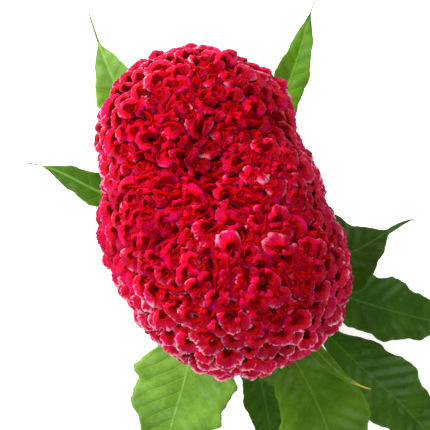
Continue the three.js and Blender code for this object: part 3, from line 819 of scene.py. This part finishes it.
def clay_material(sizes):
    nodes = Nodes("clay")
    height = nodes.value("height")
    patch = nodes.noise(34, 4, 0.55)
    speck = nodes.noise(1.1, 3, 0.7)
    rings = nodes.noise(1.8, 2, 0.5, (0.03, 0.03, 1))
    clay = sizes.clay_colour
    colour = nodes.mix(nodes.step(patch, 0.3, 0.72), shade(clay, 0.72), clay)
    colour = nodes.mix(nodes.step(speck, 0.58, 0.75) * 0.35, colour, sizes.bloom_colour)
    salts = nodes.step(patch + 0.3 * (speck - 0.5), 0.5, 0.75)
    low = nodes.step(height, 0.42, 0.05)
    colour = nodes.mix(salts * (0.25 + 0.5 * low), colour, sizes.bloom_colour)
    colour = nodes.mix(nodes.value("damp") * 0.6, colour, shade(clay, 0.35))
    relief = speck * 0.6 + rings * 0.8
    return nodes.finish(colour, 0.75 + 0.2 * speck, relief, 0.25, gloss=0.25)


def floor_material(colour):
    nodes = Nodes("floor")
    grain = nodes.noise(60, 3)
    return nodes.finish(nodes.mix(grain, shade(colour, 0.985), colour), 0.9 + 0.05 * grain,
                        **{"Emission Color": (1, 1, 1, 1), "Emission Strength": 0.3})


# The operators


class CrestWalls(bpy.types.Operator):
    """Builds the crest's ribbon: a rounded, velvety edge and a sloping flank on each side"""

    bl_idname = "cockscomb.crest_walls"
    bl_label = "Crest walls"

    # Shares of the way down a flank with their lift; the last is the foot behind the lip
    FLANK = ((0.0, 0.66), (0.05, 0.0), (0.35, 0.0), (0.7, 0.0), (1.0, 0.0), (0.5, -2.2))

    def execute(self, context):
        sizes = context.scene.cockscomb_crest
        crest = grown_crest(context)
        middle = (crest.flank(1, 0.0) + crest.flank(-1, 0.0)) / 2
        columns = [(middle + crest.upward * crest.BEAD, 0.0, 0.0, crest.tip(1))]
        for sign in (1, -1):
            made = []
            for share, lift in self.FLANK:
                points = crest.flank(sign, share, lift)
                off = np.abs(((points - middle) * crest.side).sum(1))
                made.append((points, off, share if lift > -1 else 1.1, crest.tip(sign)))
            columns = columns + made if sign > 0 else made[::-1] + columns
        points = on_head(np.stack([column[0] for column in columns], 1))
        rows, width = points.shape[:2]
        off, share, tip = stack_columns([column[1:] for column in columns], rows)
        add_piece("crest_walls", points.reshape(-1, 3), grid_faces(rows, width, True, True),
                  crest_material(sizes), "crest", ("flower_head",), off=off, share=share,
                  tip=tip, along=np.repeat(crest.along[:, None], width, 1))
        return {"FINISHED"}


def on_head(points):
    """Points of the crest in the shared frame, under the frame's top."""
    points = points + HEAD_CENTRE
    points[..., 2] = np.minimum(points[..., 2], CAD_BOX[1].z / MM)
    return points


def scattered_places(spacing):
    """Places spread evenly over the dome above its skirt."""
    count = round(CUP_AREA / spacing ** 2)
    height = 1 - (np.arange(count) + 0.5) / count * CUP_SPREAD
    turn = GOLDEN_ANGLE * np.arange(count)
    places = onto_dome(upright(np.sqrt(1 - height ** 2), turn, height))
    random = np.random.default_rng(8)
    places = onto_dome(places + random.normal(0, CUP_STRAY * spacing, places.shape))
    for _ in range(CUP_ROUNDS):
        wide = 1.1 - 0.42 * steepness(dome_normals(places))
        kept = spacing * wide * (1 + 0.25 * wander(places, VARIATION_SIZE))
        i, j = close_pairs(places, 1.4 * spacing)
        moved = places.copy()
        shove_apart(moved, places, i[i != j], j[i != j], kept,
                    lambda length, keep: CUP_PUSH * (keep - length))
        places = onto_dome(moved)
    return places[places[:, 2] > CUPS_END]


class Cups:
    """The ruffled cups: a curved rim over a hollow each, with a ragged fan on the outer side.

    Numbers have a row for each cup and, where they vary round the cup, a column for each side.
    """

    SIDES = 35
    # Places across a cup's wall: inside (share of the radius, height), the rim (distance
    # from it, height), outside (share of the fan, height), and the foot under it
    INSIDE = ((0.15, -4.6), (0.55, -2.8), (0.9, -0.9))
    RIM = ((-0.36, -0.26), (0.0, 0.0), (0.42, -0.26))
    OUTSIDE = ((0.06, -0.75), (0.4, -1.3), (0.8, -1.95), (1.0, -2.9))
    FOOT = (0.7, -5.6)
    # The distance from the rim that the material reads as far away, and what a fan adds to it
    FAR, FAN_OFF = 9.0, 9.0
    # The least and the most radius, half turn, fan and tooth of a cup, and the longest fan
    RADII, HALF_TURNS, FANS, TEETH = (2.3, 4.7), (1.5, 2.9), (4.0, 6.9), (-0.9, 0.4)
    LONGEST = 6.4
    # Waves of the outline: how many round a cup, their least and most share of its radius
    WAVES = ((2, 0.05, 0.3), (3, 0.02, 0.2), (5, 0.02, 0.12), (8, 0.02, 0.07))
    # Waves of the rim's height: how many round a cup, their least and most height
    RIM_WAVES = ((2, 0.5, 1.7), (5, 0.2, 0.8))
    # How far from the crown the fans face fully outward, and how much a steep cup turns upright
    CROWN, UPTURN = 40.0, 1.6

    def __init__(self, places):
        self.places, self.random = places, np.random.default_rng(5)
        pick = self.pick
        normal = unit(dome_normals(places) + unit(places))
        steep = steepness(normal)[:, None]
        self.axis = unit(normal + np.array([0, 0, self.UPTURN]) * steep)
        facing = (places * (1, 1, 0) / self.CROWN + 0.8 * stray_directions(places)
                  + self.random.normal(0, 0.25, places.shape))
        self.facing = levelled(facing, self.axis)

        size = pick(*self.RADII)
        half = pick(*self.HALF_TURNS) * (1 - 0.35 * steep)
        side = np.linspace(-1, 1, self.SIDES)
        self.turn = turn = side * half
        swell = (1 + 0.2 * wander(places, VARIATION_SIZE)[:, None]) * (1 - 0.08 * steep)
        ring = 1 + self.waves(self.WAVES)
        # The lowest cups are small and sit in the underside
        low = smooth_step(places[:, 2], SKIRT + 4, SKIRT - 6)[:, None]
        swell = swell * (1 - 0.35 * low)
        self.radius = size * swell * ring * (1 - 0.3 * steep)
        fan = np.minimum(pick(*self.FANS) * (size / 3) ** 0.6 * swell, self.LONGEST)
        rounded = 1 - 0.8 * np.abs(side) ** 4
        fan = fan * (1 + 0.06 * steep) - 1.0
        self.fan = 1.0 + fan * (0.5 + 0.5 * np.cos(turn)) ** 1.1 * rounded
        self.teeth = self.random.uniform(*self.TEETH, turn.shape)
        self.wave = self.waves(self.RIM_WAVES)
        self.lift = 0.7 * wander(places, 3)[:, None] + pick(-0.8, 0.6) - 0.6 * np.cos(turn)
        # A cup on a steep side stands back, so its fan ends where the dome does
        reach = (self.radius + self.fan).max(1) * np.clip((self.facing * normal).sum(1), 0, None)
        lumps = 1.5 * wander(places - 20, 9) * (1 - low[:, 0])
        self.feet = places - normal * (0.6 + 0.64 * reach - lumps)[:, None]

    def pick(self, low, high):
        """A number for each cup, by chance."""
        return (low + (high - low) * self.random.random(len(self.places)))[:, None]

    def waves(self, kinds):
        """Waves of several lengths round each cup, with heights and starts by chance."""
        return sum(self.pick(least, most) * np.cos(count * self.turn + self.pick(0, 6.3))
                   for count, least, most in kinds)

    def wall(self):
        """Points of the walls; how far down the wall, how far from the rim and how much
        inside the cup each is."""
        radius, wave, lift, rim = self.radius, self.wave, self.lift, self.RIM[-1][0]
        columns = [(radius * share, height + wave * share + lift, 1 - share, self.FAR, 1.0)
                   for share, height in self.INSIDE]
        columns += [(radius + off, height + wave + lift, 0.0, abs(off), 0.5)
                    for off, height in self.RIM]
        columns += [(radius + rim + share * self.fan + (share == 1.0) * self.teeth,
                     height + wave * (1 - 0.5 * share) + lift, share,
                     rim + self.FAN_OFF * share, 0.0) for share, height in self.OUTSIDE]
        share, height = self.FOOT
        columns.append((radius * share, height + lift, 1.2, self.FAR, 0.0))
        reach, height, share, off, inside = stack_columns(columns, radius.shape)
        turn = self.turn[..., None]
        ways = (self.facing, np.cross(self.axis, self.facing), self.axis)
        parts = (reach * np.cos(turn), reach * np.sin(turn), height)
        points = self.feet[:, None, None]
        for way, part in zip(ways, parts):
            points = points + way[:, None, None] * part[..., None]
        return points, share, off, inside

    def looks(self):
        """How pale the lips of the fans are, and how dark each cup is.

        The lips pale towards the head's sides, but less at the right and at the waist: paler on
        the lit left is painted light. The cups darken partly by chance and partly as painted
        shade.
        """
        x, y = self.places[:, :1], self.places[:, 1:2]
        off_centre = smooth_step(np.hypot(x - 10, y - 16), 42, 84)
        # Painted light: the lips are paler on the left, where the key light falls, than on the
        # right
        sunny = 1 - 0.7 * smooth_step(x, -5, 40)
        pale = (0.2 + 0.8 * off_centre * sunny + 0.5 * wander(self.places, 8)[:, None]
                + self.pick(-0.6, 0.6))
        # Round the waist, at the head's left side, the lips are less pale and the cups darker:
        # painted shade
        waist = smooth_step(np.hypot(x + 50, y + 12), 34, 10)
        pale = np.clip((pale - 0.7 * waist) * (0.4 + 0.6 * np.cos(self.turn)), 0, 1)
        # Painted shade: cups darker towards the right side and at the waist, on top of chance
        shaded = 0.45 * smooth_step(x, 5, 45) + 0.4 * waist
        return pale, np.clip(self.pick(-0.4, 0.9) + shaded, 0, 1)


class CrestCups(bpy.types.Operator):
    """Sets the ruffled cups: each a curved red rim over a hollow, with a fan on its outer side"""

    bl_idname = "cockscomb.crest_cups"
    bl_label = "Crest cups"

    # The cups are shared out to this many pieces, and their colours repeat after so many cups
    PIECES, ORDERS = 3, 97

    def execute(self, context):
        sizes = context.scene.cockscomb_crest
        cups = Cups(scattered_places(sizes.cup_spacing / MM))
        points, share, off, inside = cups.wall()
        points = on_head(points)
        pale, tone = cups.looks()
        count, sides, width = share.shape
        values = {"share": share, "off": off, "inside": inside, "pale": pale[..., None],
                  "tone": tone[..., None], "turn": (cups.turn * cups.radius)[..., None],
                  "order": (np.arange(count) % self.ORDERS)[:, None, None]}
        values = {key: np.broadcast_to(value, share.shape) for key, value in values.items()}
        # A cup doesn't go all the way round, so its two cut ends are closed
        faces = grid_faces(sides, width, close_columns=True)
        faces += [list(range(width)), list(range((sides - 1) * width, sides * width))]
        material = cup_material(sizes)
        for part in range(self.PIECES):
            chosen = np.arange(part, count, self.PIECES)
            joined = [[sides * width * cup + corner for corner in face]
                      for cup in range(len(chosen)) for face in faces]
            add_piece(f"crest_cups_{part + 1}", points[chosen].reshape(-1, 3), joined, material,
                      "crest", **{key: value[chosen] for key, value in values.items()})
        return {"FINISHED"}


class HeadCore(bpy.types.Operator):
    """Builds the body under the folds, with its pleated, chaffy underside"""

    bl_idname = "cockscomb.head_core"
    bl_label = "Head core"

    SIDES, PLEATS = 264, 44
    # How deep the pleats are, how much less at the neck, and how high the chaff is
    PLEAT_DEPTH, SHALLOWER, CHAFF = 3.0, 1.4, 0.45
    # The neck runs from the lowest ring to the stem's fan in these shares
    NECK = (0.25, 0.5, 0.75, 1.0)

    def execute(self, context):
        sizes = context.scene.cockscomb_crest
        depth = sizes.core_depth / MM
        turn = turns(self.SIDES)
        polar = np.concatenate([np.linspace(0.5, 100, 56), np.linspace(101.5, 150, 44)])[:, None]
        directions = upright(np.sin(np.radians(polar)), turn, np.cos(np.radians(polar)))
        radius = dome_radius(directions) - 5.0 * steepness(dome_normals(directions))
        under = smooth_step(radius * directions[..., 2], SKIRT + 3, SKIRT - 5)
        # Every other pleat ends before the neck
        pleats = 0.5 + 0.5 * np.cos(self.PLEATS * turn + 0.5 * wander(directions * 60, 22))
        wide = 0.5 + 0.5 * np.cos(self.PLEATS / 2 * turn)
        far = smooth_step(polar, 128, 144)
        groove = pleats * (1 - far) + wide * far
        chaff = self.CHAFF * wander(directions * 60, 1.6)
        relief = groove * (self.PLEAT_DEPTH - self.SHALLOWER * far) + 0.4 - chaff
        radius = radius - depth * (1 - under) - under * relief
        rings = radius[..., None] * directions
        seat = np.stack([FAN_DEPTH * np.cos(turn), FAN_WIDTH * np.sin(turn),
                         np.full_like(turn, CREST_SEAT - HEAD_CENTRE[2])], -1)
        neck = [rings[-1] * (1 - share) + seat * share for share in self.NECK]
        points = np.concatenate([rings, neck]) + HEAD_CENTRE
        under = np.concatenate([under, np.ones((len(neck), self.SIDES))])
        groove = np.concatenate([groove, np.repeat(groove[-1:], len(neck), 0)])
        add_piece("head_core", points.reshape(-1, 3), tube_faces(len(points), self.SIDES),
                  core_material(sizes), "crest", chaff=under, groove=groove)
        return {"FINISHED"}


def stem_axis(height):
    """The stem's middle at a height."""
    lean = smooth_step(height, STEM_LEANS, STEM_TOP + 10)
    return np.stack([HEAD_CENTRE[0] * lean, HEAD_CENTRE[1] * lean, height], -1)


def stem_surface(height, turn):
    """Points of the stem's skin at a height and on a side of it."""
    height, turn = np.broadcast_arrays(np.asarray(height, float), turn)
    widen = smooth_step(height, STEM_WIDENS, STEM_TOP)
    across = STEM_RADIUS + (FAN_DEPTH - STEM_RADIUS) * widen
    along = STEM_RADIUS + (FAN_WIDTH - STEM_RADIUS) * widen
    plain = 1 / np.hypot(np.cos(turn) / across, np.sin(turn) / along)
    reach = plain + STEM_RIB_DEPTH * np.cos(STEM_RIBS * turn)
    return stem_axis(height) + upright(reach, turn, 0)


class Stem(bpy.types.Operator):
    """Builds the ribbed stem that widens into a fan under the crest"""

    bl_idname = "cockscomb.stem"
    bl_label = "Stem"

    SIDES, ROWS = 128, 120
    # How much and how far the stem swells where a leaf starts
    NODE_SWELL, NODE_LENGTH = 0.05, 2.5

    def execute(self, context):
        heights = np.linspace(STEM_FOOT, CREST_SEAT, self.ROWS)[:, None]
        turn = turns(self.SIDES)
        points = stem_surface(heights, turn)
        middle = stem_axis(heights[:, 0])[:, None]
        swell = sum(self.NODE_SWELL * np.exp(-((heights - leaf[0]) / self.NODE_LENGTH) ** 2)
                    for leaf in LEAVES.values())
        rough = 0.012 * wander(points * (1, 1, 0.15), 1.5)[..., None]
        points = middle + (points - middle) * (1 + np.minimum(swell, 0.07)[..., None] + rough)
        ribs = np.cos(STEM_RIBS * turn) * np.ones_like(heights)
        share = (heights - STEM_FOOT) / (STEM_TOP - STEM_FOOT) * np.ones_like(turn)
        add_piece("plant_stem", points.reshape(-1, 3), tube_faces(self.ROWS, self.SIDES),
                  stem_material(context.scene.cockscomb_stem), "stem", ("stem",),
                  rib=ribs, height=share)
        return {"FINISHED"}


class Leaf:
    """One leaf: a stalk that opens into a blade, folded along its rib, with waved edges."""

    STALK_WIDTH, TIP_WIDTH = 3.2, 0.7
    STALK_THICKNESS, RIB_THICKNESS, MARGIN_THICKNESS = 2.6, 1.5, 0.6
    # How often the margin waves, frills and is nicked, finely and more finely
    RIPPLES, FRILLS, NICKS, FINE_NICKS = 3, 9, 13, 27
    # How high the frills and the bulges between the side veins are, and from which half width
    # of the blade they are that high
    FRILL, FRILL_FROM, BULGE, BULGE_FROM = 0.8, 8, 0.9, 12
    # The drawn-out tip's share of the width, and that of the broad teeth
    TAIL, TOOTH = 0.24, 0.07
    # How far from the stem the stalk starts
    FOOT_GAP = 0.2

    def __init__(self, numbers, seed, vein_spacing):
        for key, value in zip(LEAF_KEYS, numbers):
            setattr(self, key, value)
        self.seed, self.vein_spacing = seed, vein_spacing

    def direction(self, share):
        sway = self.sway * np.sin(2 * np.pi * share)
        heading = np.radians(self.heading + self.turn * share + sway)
        climb = np.radians(self.rise - self.droop * share)
        return upright(np.cos(climb), heading, np.sin(climb))

    def half_width(self, share):
        along = np.clip((share - self.stalk) / (1 - self.stalk), 0, 1)
        body = np.sin(np.pi * np.clip(along / self.body, 0, 1) ** self.skew)
        tail = self.TAIL * (1 - along) * smooth_step(along, 0.4, 0.8)
        teeth = 1 + self.TOOTH * np.sin(9 * np.pi * along)
        blade = self.width / 2 * np.hypot(np.maximum(body, 0), tail) * teeth
        least = (self.STALK_WIDTH + (self.TIP_WIDTH - self.STALK_WIDTH)
                 * smooth_step(share, 0, 1)) / 2
        return np.maximum(blade, least * smooth_step(share, 1.02, 0.97))

    def start_point(self):
        """Where the stalk starts: nearer the stem than the solid's, so that it closes the gap."""
        at, step, climb = math.radians(self.at), math.radians(3), 3
        sideways = stem_surface(self.start, at + step) - stem_surface(self.start, at - step)
        upward = stem_surface(self.start + climb, at) - stem_surface(self.start - climb, at)
        outward = unit(np.cross(sideways, upward))
        return stem_surface(self.start, at) + outward * self.FOOT_GAP

    def build(self, stations, cells):
        """Points of both faces, numbers that the material reads, and shares of the length."""
        share = np.linspace(0, 1, stations + 1)
        forward = self.direction(share)
        middles = self.direction((share[1:] + share[:-1]) / 2)
        path = np.vstack([np.zeros(3), np.cumsum(middles, 0)]) * self.length / stations
        path += self.start_point()
        level = unit(np.cross(forward, (0, 0, 1.0)))
        roll = np.radians(self.roll * smooth_step(share, 0, 0.5))[:, None]
        level = level * np.cos(roll) + np.cross(forward, level) * np.sin(roll)
        raised = np.cross(level, forward)
        half = self.half_width(share)[:, None]
        blade = smooth_step(share, 0.8 * self.stalk, self.stalk + 0.12)[:, None]
        across = np.linspace(-1, 1, cells + 1)[None, :]
        across = np.sign(across) * np.abs(across) ** 0.9
        spread = np.abs(across)
        phase = np.where(across > 0, 0.9, 3.2)
        place = share[:, None]
        around = 2 * np.pi * place
        ripple = np.sin(self.RIPPLES * around + phase)
        frill = np.sin(self.FRILLS * around + 2 * phase + self.seed)
        frill = self.FRILL * spread ** 3 * frill * np.minimum(half / self.FRILL_FROM, 1)
        lift = blade * (self.fold * half * spread + self.wave * spread ** 2 * ripple + frill)
        # The blade bulges between its side veins
        course = (place * self.length - spread * half * 0.8) / self.vein_spacing
        bulge = np.abs(np.sin(np.pi * course)) * spread * (1 - spread) * 4
        lift = lift + blade * self.BULGE * bulge * np.minimum(half / self.BULGE_FROM, 1)
        nick = 1 + spread * (0.025 * np.sin(self.NICKS * around + phase + self.seed)
                             + 0.012 * np.sin(self.FINE_NICKS * around + 2 * self.seed))
        sheet = (path[:, None] + level[:, None] * (across * half * nick)[..., None]
                 + raised[:, None] * lift[..., None])
        # It thins from the rib to the margin and towards the tip
        thick = self.STALK_THICKNESS + (self.RIB_THICKNESS - self.STALK_THICKNESS) * blade
        thick = thick * (1 - 0.6 * smooth_step(place, 0.6, 1))
        thick = thick + (self.MARGIN_THICKNESS - thick) * spread ** 0.5
        thick = thick * (1 - 0.55 * smooth_step(spread, 0.9, 1.0) * blade)
        offset = raised[:, None] * (thick / 2)[..., None]
        ones = np.ones_like(across * place)
        numbers = {"along": place * self.length * ones, "across": across * half,
                   "margin": spread * ones}
        return sheet + offset, sheet - offset, numbers, place * ones


class Leaves(bpy.types.Operator):
    """Builds every leaf as its own piece, with veins, waved margins and a drawn-out tip"""

    bl_idname = "cockscomb.leaves"
    bl_label = "Leaves"

    STATIONS, CELLS = 100, 20

    def execute(self, context):
        sizes = context.scene.cockscomb_leaves
        colours = {"fresh": sizes.fresh_colour, "middle": sizes.middle_colour,
                   "dark": sizes.dark_colour}
        materials = {tone: leaf_material(LEAF_SLOTS[tone], colour, sizes)
                     for tone, colour in colours.items()}
        for seed, (name, numbers) in enumerate(LEAVES.items()):
            leaf = Leaf(numbers, seed, sizes.vein_spacing / MM)
            top, bottom, values, share = leaf.build(self.STATIONS, self.CELLS)
            rows, columns = top.shape[:2]
            count = rows * columns
            faces = grid_faces(rows, columns)
            faces += [[count + corner for corner in face] for face in faces]
            rim = border(rows, columns)
            for one, two in zip(rim, rim[1:] + rim[:1]):
                faces.append([one, two, count + two, count + one])
            points = np.concatenate([top.reshape(-1, 3), bottom.reshape(-1, 3)])
            start = 1 - YELLOW_TIPS.get(name, 0)
            yellow = smooth_step(share, start, start + 0.1) if start < 1 else 0 * share
            values = {key: np.tile(number.ravel(), 2) for key, number in values.items()}
            add_piece(f"blade_{name}", points, faces, materials[leaf.tone],
                      LEAF_SLOTS[leaf.tone], (f"leaf_{name}",),
                      under=np.repeat([0.0, 1.0], count),
                      deeper=np.full(2 * count, DEEPER_AND_SHADED.get(name, 0)),
                      yellow=np.tile(yellow.ravel(), 2), **values)
        return {"FINISHED"}


def pot_inner_radius(height):
    """Half the pot's inner width at a height."""
    climb = (height - POT_FLOOR) / (POT_HEIGHT - POT_BAND - POT_FLOOR)
    straight = POT_BASE_RADIUS + (POT_SHOULDER_RADIUS - POT_BASE_RADIUS) * climb
    return np.minimum(straight, POT_RIM_RADIUS) - POT_WALL


class Pot(bpy.types.Operator):
    """Turns the clay pot, with soft edges, a rim band and drain holes"""

    bl_idname = "cockscomb.pot"
    bl_label = "Pot"

    SIDES, BAND_TAPER = 144, 1.5
    # The longest straight piece of the profile, and a drill's sides and length
    LONGEST, DRILL_SIDES, DRILL_LENGTH = 6, 32, 20

    def execute(self, context):
        foot, top = POT_HEIGHT - POT_BAND, POT_HEIGHT
        corners = [(0, 0), (POT_BASE_RADIUS, 0), (POT_SHOULDER_RADIUS, foot),
                   (POT_RIM_RADIUS - self.BAND_TAPER, foot), (POT_RIM_RADIUS, top),
                   (pot_inner_radius(top), top), (pot_inner_radius(POT_FLOOR), POT_FLOOR),
                   (0, POT_FLOOR)]
        profile = np.array(self.rounded(corners, POT_EDGE))
        sides, rows = self.SIDES, len(profile) - 2
        rings = upright(profile[1:-1, :1], turns(sides), profile[1:-1, 1:])
        points = np.vstack([(0, 0, profile[0, 1]), rings.reshape(-1, 3),
                            (0, 0, profile[-1, 1])])
        faces = [[corner + 1 for corner in face]
                 for face in grid_faces(rows, sides, close_columns=True)]
        last = len(points) - 1
        for side in range(sides):
            after = (side + 1) % sides
            faces.append([0, 1 + side, 1 + after])
            faces.append([last, last - sides + side, last - sides + after])
        inside = (np.hypot(points[:, 0], points[:, 1])
                  < pot_inner_radius(points[:, 2]) + 1.0) & (points[:, 2] > POT_FLOOR - 1)
        damp = inside * smooth_step(points[:, 2], SOIL_LEVEL + 7, SOIL_LEVEL + 1)
        pot = add_piece("clay_pot", points, faces, clay_material(context.scene.cockscomb_pot),
                        "clay", ("pot",), height=points[:, 2] / POT_HEIGHT, damp=damp)
        self.drill(pot)
        return {"FINISHED"}

    @classmethod
    def rounded(cls, corners, radius, steps=4):
        """The profile with its corners rounded and its straights cut into short lengths."""
        made = [corners[0]]
        for before, corner, after in zip(corners, corners[1:], corners[2:]):
            arms = [np.subtract(end, corner) for end in (before, after)]
            cuts = [arm / np.linalg.norm(arm) * min(radius, np.linalg.norm(arm) / 2.2)
                    for arm in arms]
            made += [corner + cuts[0] * (1 - share) ** 2 + cuts[1] * share ** 2
                     for share in np.linspace(0, 1, steps + 1)]
        made.append(corners[-1])
        fine = [made[0]]
        for one, two in zip(made, made[1:]):
            parts = max(1, int(np.linalg.norm(np.subtract(two, one)) / cls.LONGEST))
            fine += [np.add(one, np.subtract(two, one) * k / parts) for k in range(1, parts + 1)]
        return fine

    def drill(self, pot):
        """Cuts the drain holes, clear of the middle of the base."""
        drills = []
        for hole in range(DRAINS):
            place = upright(DRAIN_OUT, 2 * math.pi * (hole + 0.5) / DRAINS, POT_FLOOR / 2) * MM
            bpy.ops.mesh.primitive_cylinder_add(
                vertices=self.DRILL_SIDES, radius=DRAIN_RADIUS * MM,
                depth=self.DRILL_LENGTH * MM, location=place.tolist())
            drill = bpy.context.object
            cut = pot.modifiers.new("drain", "BOOLEAN")
            cut.operation, cut.solver, cut.object = "DIFFERENCE", "EXACT", drill
            drills.append(drill)
        cut_mesh = bpy.data.meshes.new_from_object(
            pot.evaluated_get(bpy.context.evaluated_depsgraph_get()))
        pot.modifiers.clear()
        pot.data = cut_mesh
        for drill in drills:
            bpy.data.objects.remove(drill)


class Soil(bpy.types.Operator):
    """Fills the pot with lumpy soil, loose crumbs and a few pale mineral grains"""

    bl_idname = "cockscomb.soil"
    bl_label = "Soil"

    SIDES, RINGS = 180, 60
    # Every so many crumbs, one is a pale mineral grain
    MINERALS = 12

    def execute(self, context):
        sizes = context.scene.cockscomb_pot
        material = soil_material(sizes)
        turn = turns(self.SIDES)
        # The soil ends just inside the stem's skin and just short of the pot's wall
        rim, hole = pot_inner_radius(SOIL_LEVEL) - 0.1, STEM_RADIUS - 0.3
        radii = np.linspace(hole, rim, self.RINGS)[:, None]
        top = upright(radii, turn, SOIL_LEVEL)
        relief = (1.3 * wander(top, 9) + 0.8 * wander(top * (1, 1, 0) + 7, 3.1)
                  + 0.4 * wander(top * (1, 1, 0) + 3, 1.3))
        top[..., 2] += relief * smooth_step(rim - radii, -0.5, 3) + 0.3
        heights = np.array([70, 40, POT_FLOOR + SOIL_GAP, POT_FLOOR + SOIL_GAP])[:, None]
        reach = pot_inner_radius(heights) - SOIL_GAP
        reach[-1] = hole
        points = np.concatenate([top, upright(reach, turn, heights)])
        add_piece("potting_soil", points.reshape(-1, 3),
                  grid_faces(len(points), self.SIDES, True, True), material, "soil", ("soil",),
                  mineral=np.zeros(points.shape[:2]))
        self.add_crumbs(top, rim, sizes.crumbs, material)
        return {"FINISHED"}

    def add_crumbs(self, top, rim, count, material):
        """Scatters crumbs of uneven sizes over the soil, clear of the stem and the pot."""
        random = np.random.default_rng(3)
        ball = bmesh.new()
        bmesh.ops.create_icosphere(ball, subdivisions=1, radius=1)
        corners = np.array([vertex.co for vertex in ball.verts])
        shape = [[vertex.index for vertex in face.verts] for face in ball.faces]
        ball.free()
        points, faces, mineral = [], [], []
        for crumb in range(count):
            out = math.sqrt(random.uniform((STEM_RADIUS + 1.5) ** 2, (rim - 2.5) ** 2))
            turn = random.uniform(0, 2 * math.pi)
            ring = int((out - STEM_RADIUS) / (rim - STEM_RADIUS) * (len(top) - 1))
            level = top[ring, int(turn / (2 * math.pi) * top.shape[1]) % top.shape[1], 2]
            size = random.uniform(0.5, 1.7) * random.uniform(0.6, 1, 3)
            rough = random.uniform(0.75, 1.2, (len(corners), 1))
            points.append(corners * size * rough + upright(out, turn, level + 0.15))
            faces += [[len(corners) * crumb + corner for corner in face] for face in shape]
            mineral += [float(crumb % self.MINERALS == 0)] * len(corners)
        add_piece("soil_crumbs", np.concatenate(points), faces, material, "soil",
                  mineral=mineral)


class Studio(bpy.types.Operator):
    """Sets the camera at the photograph's angle, the soft lights and the pale floor"""

    bl_idname = "cockscomb.studio"
    bl_label = "Studio"

    TARGET = Vector((-10.5, 6.5, 272.0)) * MM
    SENSOR = 36
    # Places and widths of the lights and half the floor's width, in metres
    KEY, FILL = ((-0.85, 0.6, 1.15), 0.8), ((0.9, -0.5, 0.9), 1.1)
    FLOOR = 3.0

    def execute(self, context):
        sizes = context.scene.cockscomb_studio
        scene = context.scene
        camera = add_object("camera", bpy.data.cameras.new("camera"))
        back = Vector((0, -math.cos(sizes.elevation), math.sin(sizes.elevation)))
        camera.location = self.TARGET + back * sizes.distance
        camera.rotation_euler = back.to_track_quat("Z", "Y").to_euler()
        camera.data.sensor_width = self.SENSOR
        camera.data.lens = self.SENSOR * sizes.distance / sizes.view_width
        scene.camera = camera
        scene.view_settings.view_transform = "Standard"
        self.add_light("key", *self.KEY, sizes.key_power)
        self.add_light("fill", *self.FILL, sizes.fill_power)
        sky = bpy.data.worlds.new("sky")
        sky.use_nodes = True
        light = sky.node_tree.nodes["Background"]
        light.inputs["Color"].default_value = (1, 1, 1, 1)
        light.inputs["Strength"].default_value = sizes.sky
        scene.world = sky
        mesh = bpy.data.meshes.new("floor")
        corners = ((-1, -1, 0), (1, -1, 0), (1, 1, 0), (-1, 1, 0))
        mesh.from_pydata((np.array(corners) * self.FLOOR).tolist(), [], [(0, 1, 2, 3)])
        mesh.materials.append(floor_material(sizes.floor_colour))
        add_object("floor", mesh)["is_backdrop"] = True
        return {"FINISHED"}

    def add_light(self, name, place, size, power):
        data = bpy.data.lights.new(name, "AREA")
        data.shape, data.size, data.energy = "DISK", size, power
        light = add_object(name, data)
        light.location = place
        light.rotation_euler = (Vector(place) - self.TARGET).to_track_quat("Z", "Y").to_euler()


class PlantPanel(bpy.types.Panel):
    """Lists the pieces of the potted cockscomb"""

    bl_idname = "VIEW3D_PT_cockscomb"
    bl_label = "Potted Cockscomb"
    bl_space_type = "VIEW_3D"
    bl_region_type = "UI"
    bl_category = "Plant"

    def draw(self, context):
        for operator in OPERATORS:
            self.layout.operator(operator.bl_idname)
        for group in SETTINGS:
            self.layout.separator()
            for name in SETTINGS[group].__annotations__:
                self.layout.prop(getattr(context.scene, group), name)


SETTINGS = {
    "cockscomb_crest": CrestSettings,
    "cockscomb_leaves": LeafSettings,
    "cockscomb_stem": StemSettings,
    "cockscomb_pot": PotSettings,
    "cockscomb_studio": StudioSettings,
}
OPERATORS = (Studio, Pot, Soil, Stem, Leaves, HeadCore, CrestWalls, CrestCups)


def register():
    for group, kind in SETTINGS.items():
        bpy.utils.register_class(kind)
        setattr(bpy.types.Scene, group, PointerProperty(type=kind))
    for kind in (*OPERATORS, PlantPanel):
        bpy.utils.register_class(kind)


def unregister():
    for kind in reversed((*OPERATORS, PlantPanel)):
        bpy.utils.unregister_class(kind)
    for group, kind in SETTINGS.items():
        delattr(bpy.types.Scene, group)
        bpy.utils.unregister_class(kind)


def main():
    register()
    bpy.ops.cockscomb.studio()
    bpy.ops.cockscomb.pot()
    bpy.ops.cockscomb.soil()
    bpy.ops.cockscomb.stem()
    bpy.ops.cockscomb.leaves()
    bpy.ops.cockscomb.head_core()
    bpy.ops.cockscomb.crest_walls()
    bpy.ops.cockscomb.crest_cups()
    boxes = {"cad": CAD_BOX, "visual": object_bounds()}
    {name: [list(corner) for corner in box] for name, box in boxes.items()}


if __name__ == "__main__":
    main()
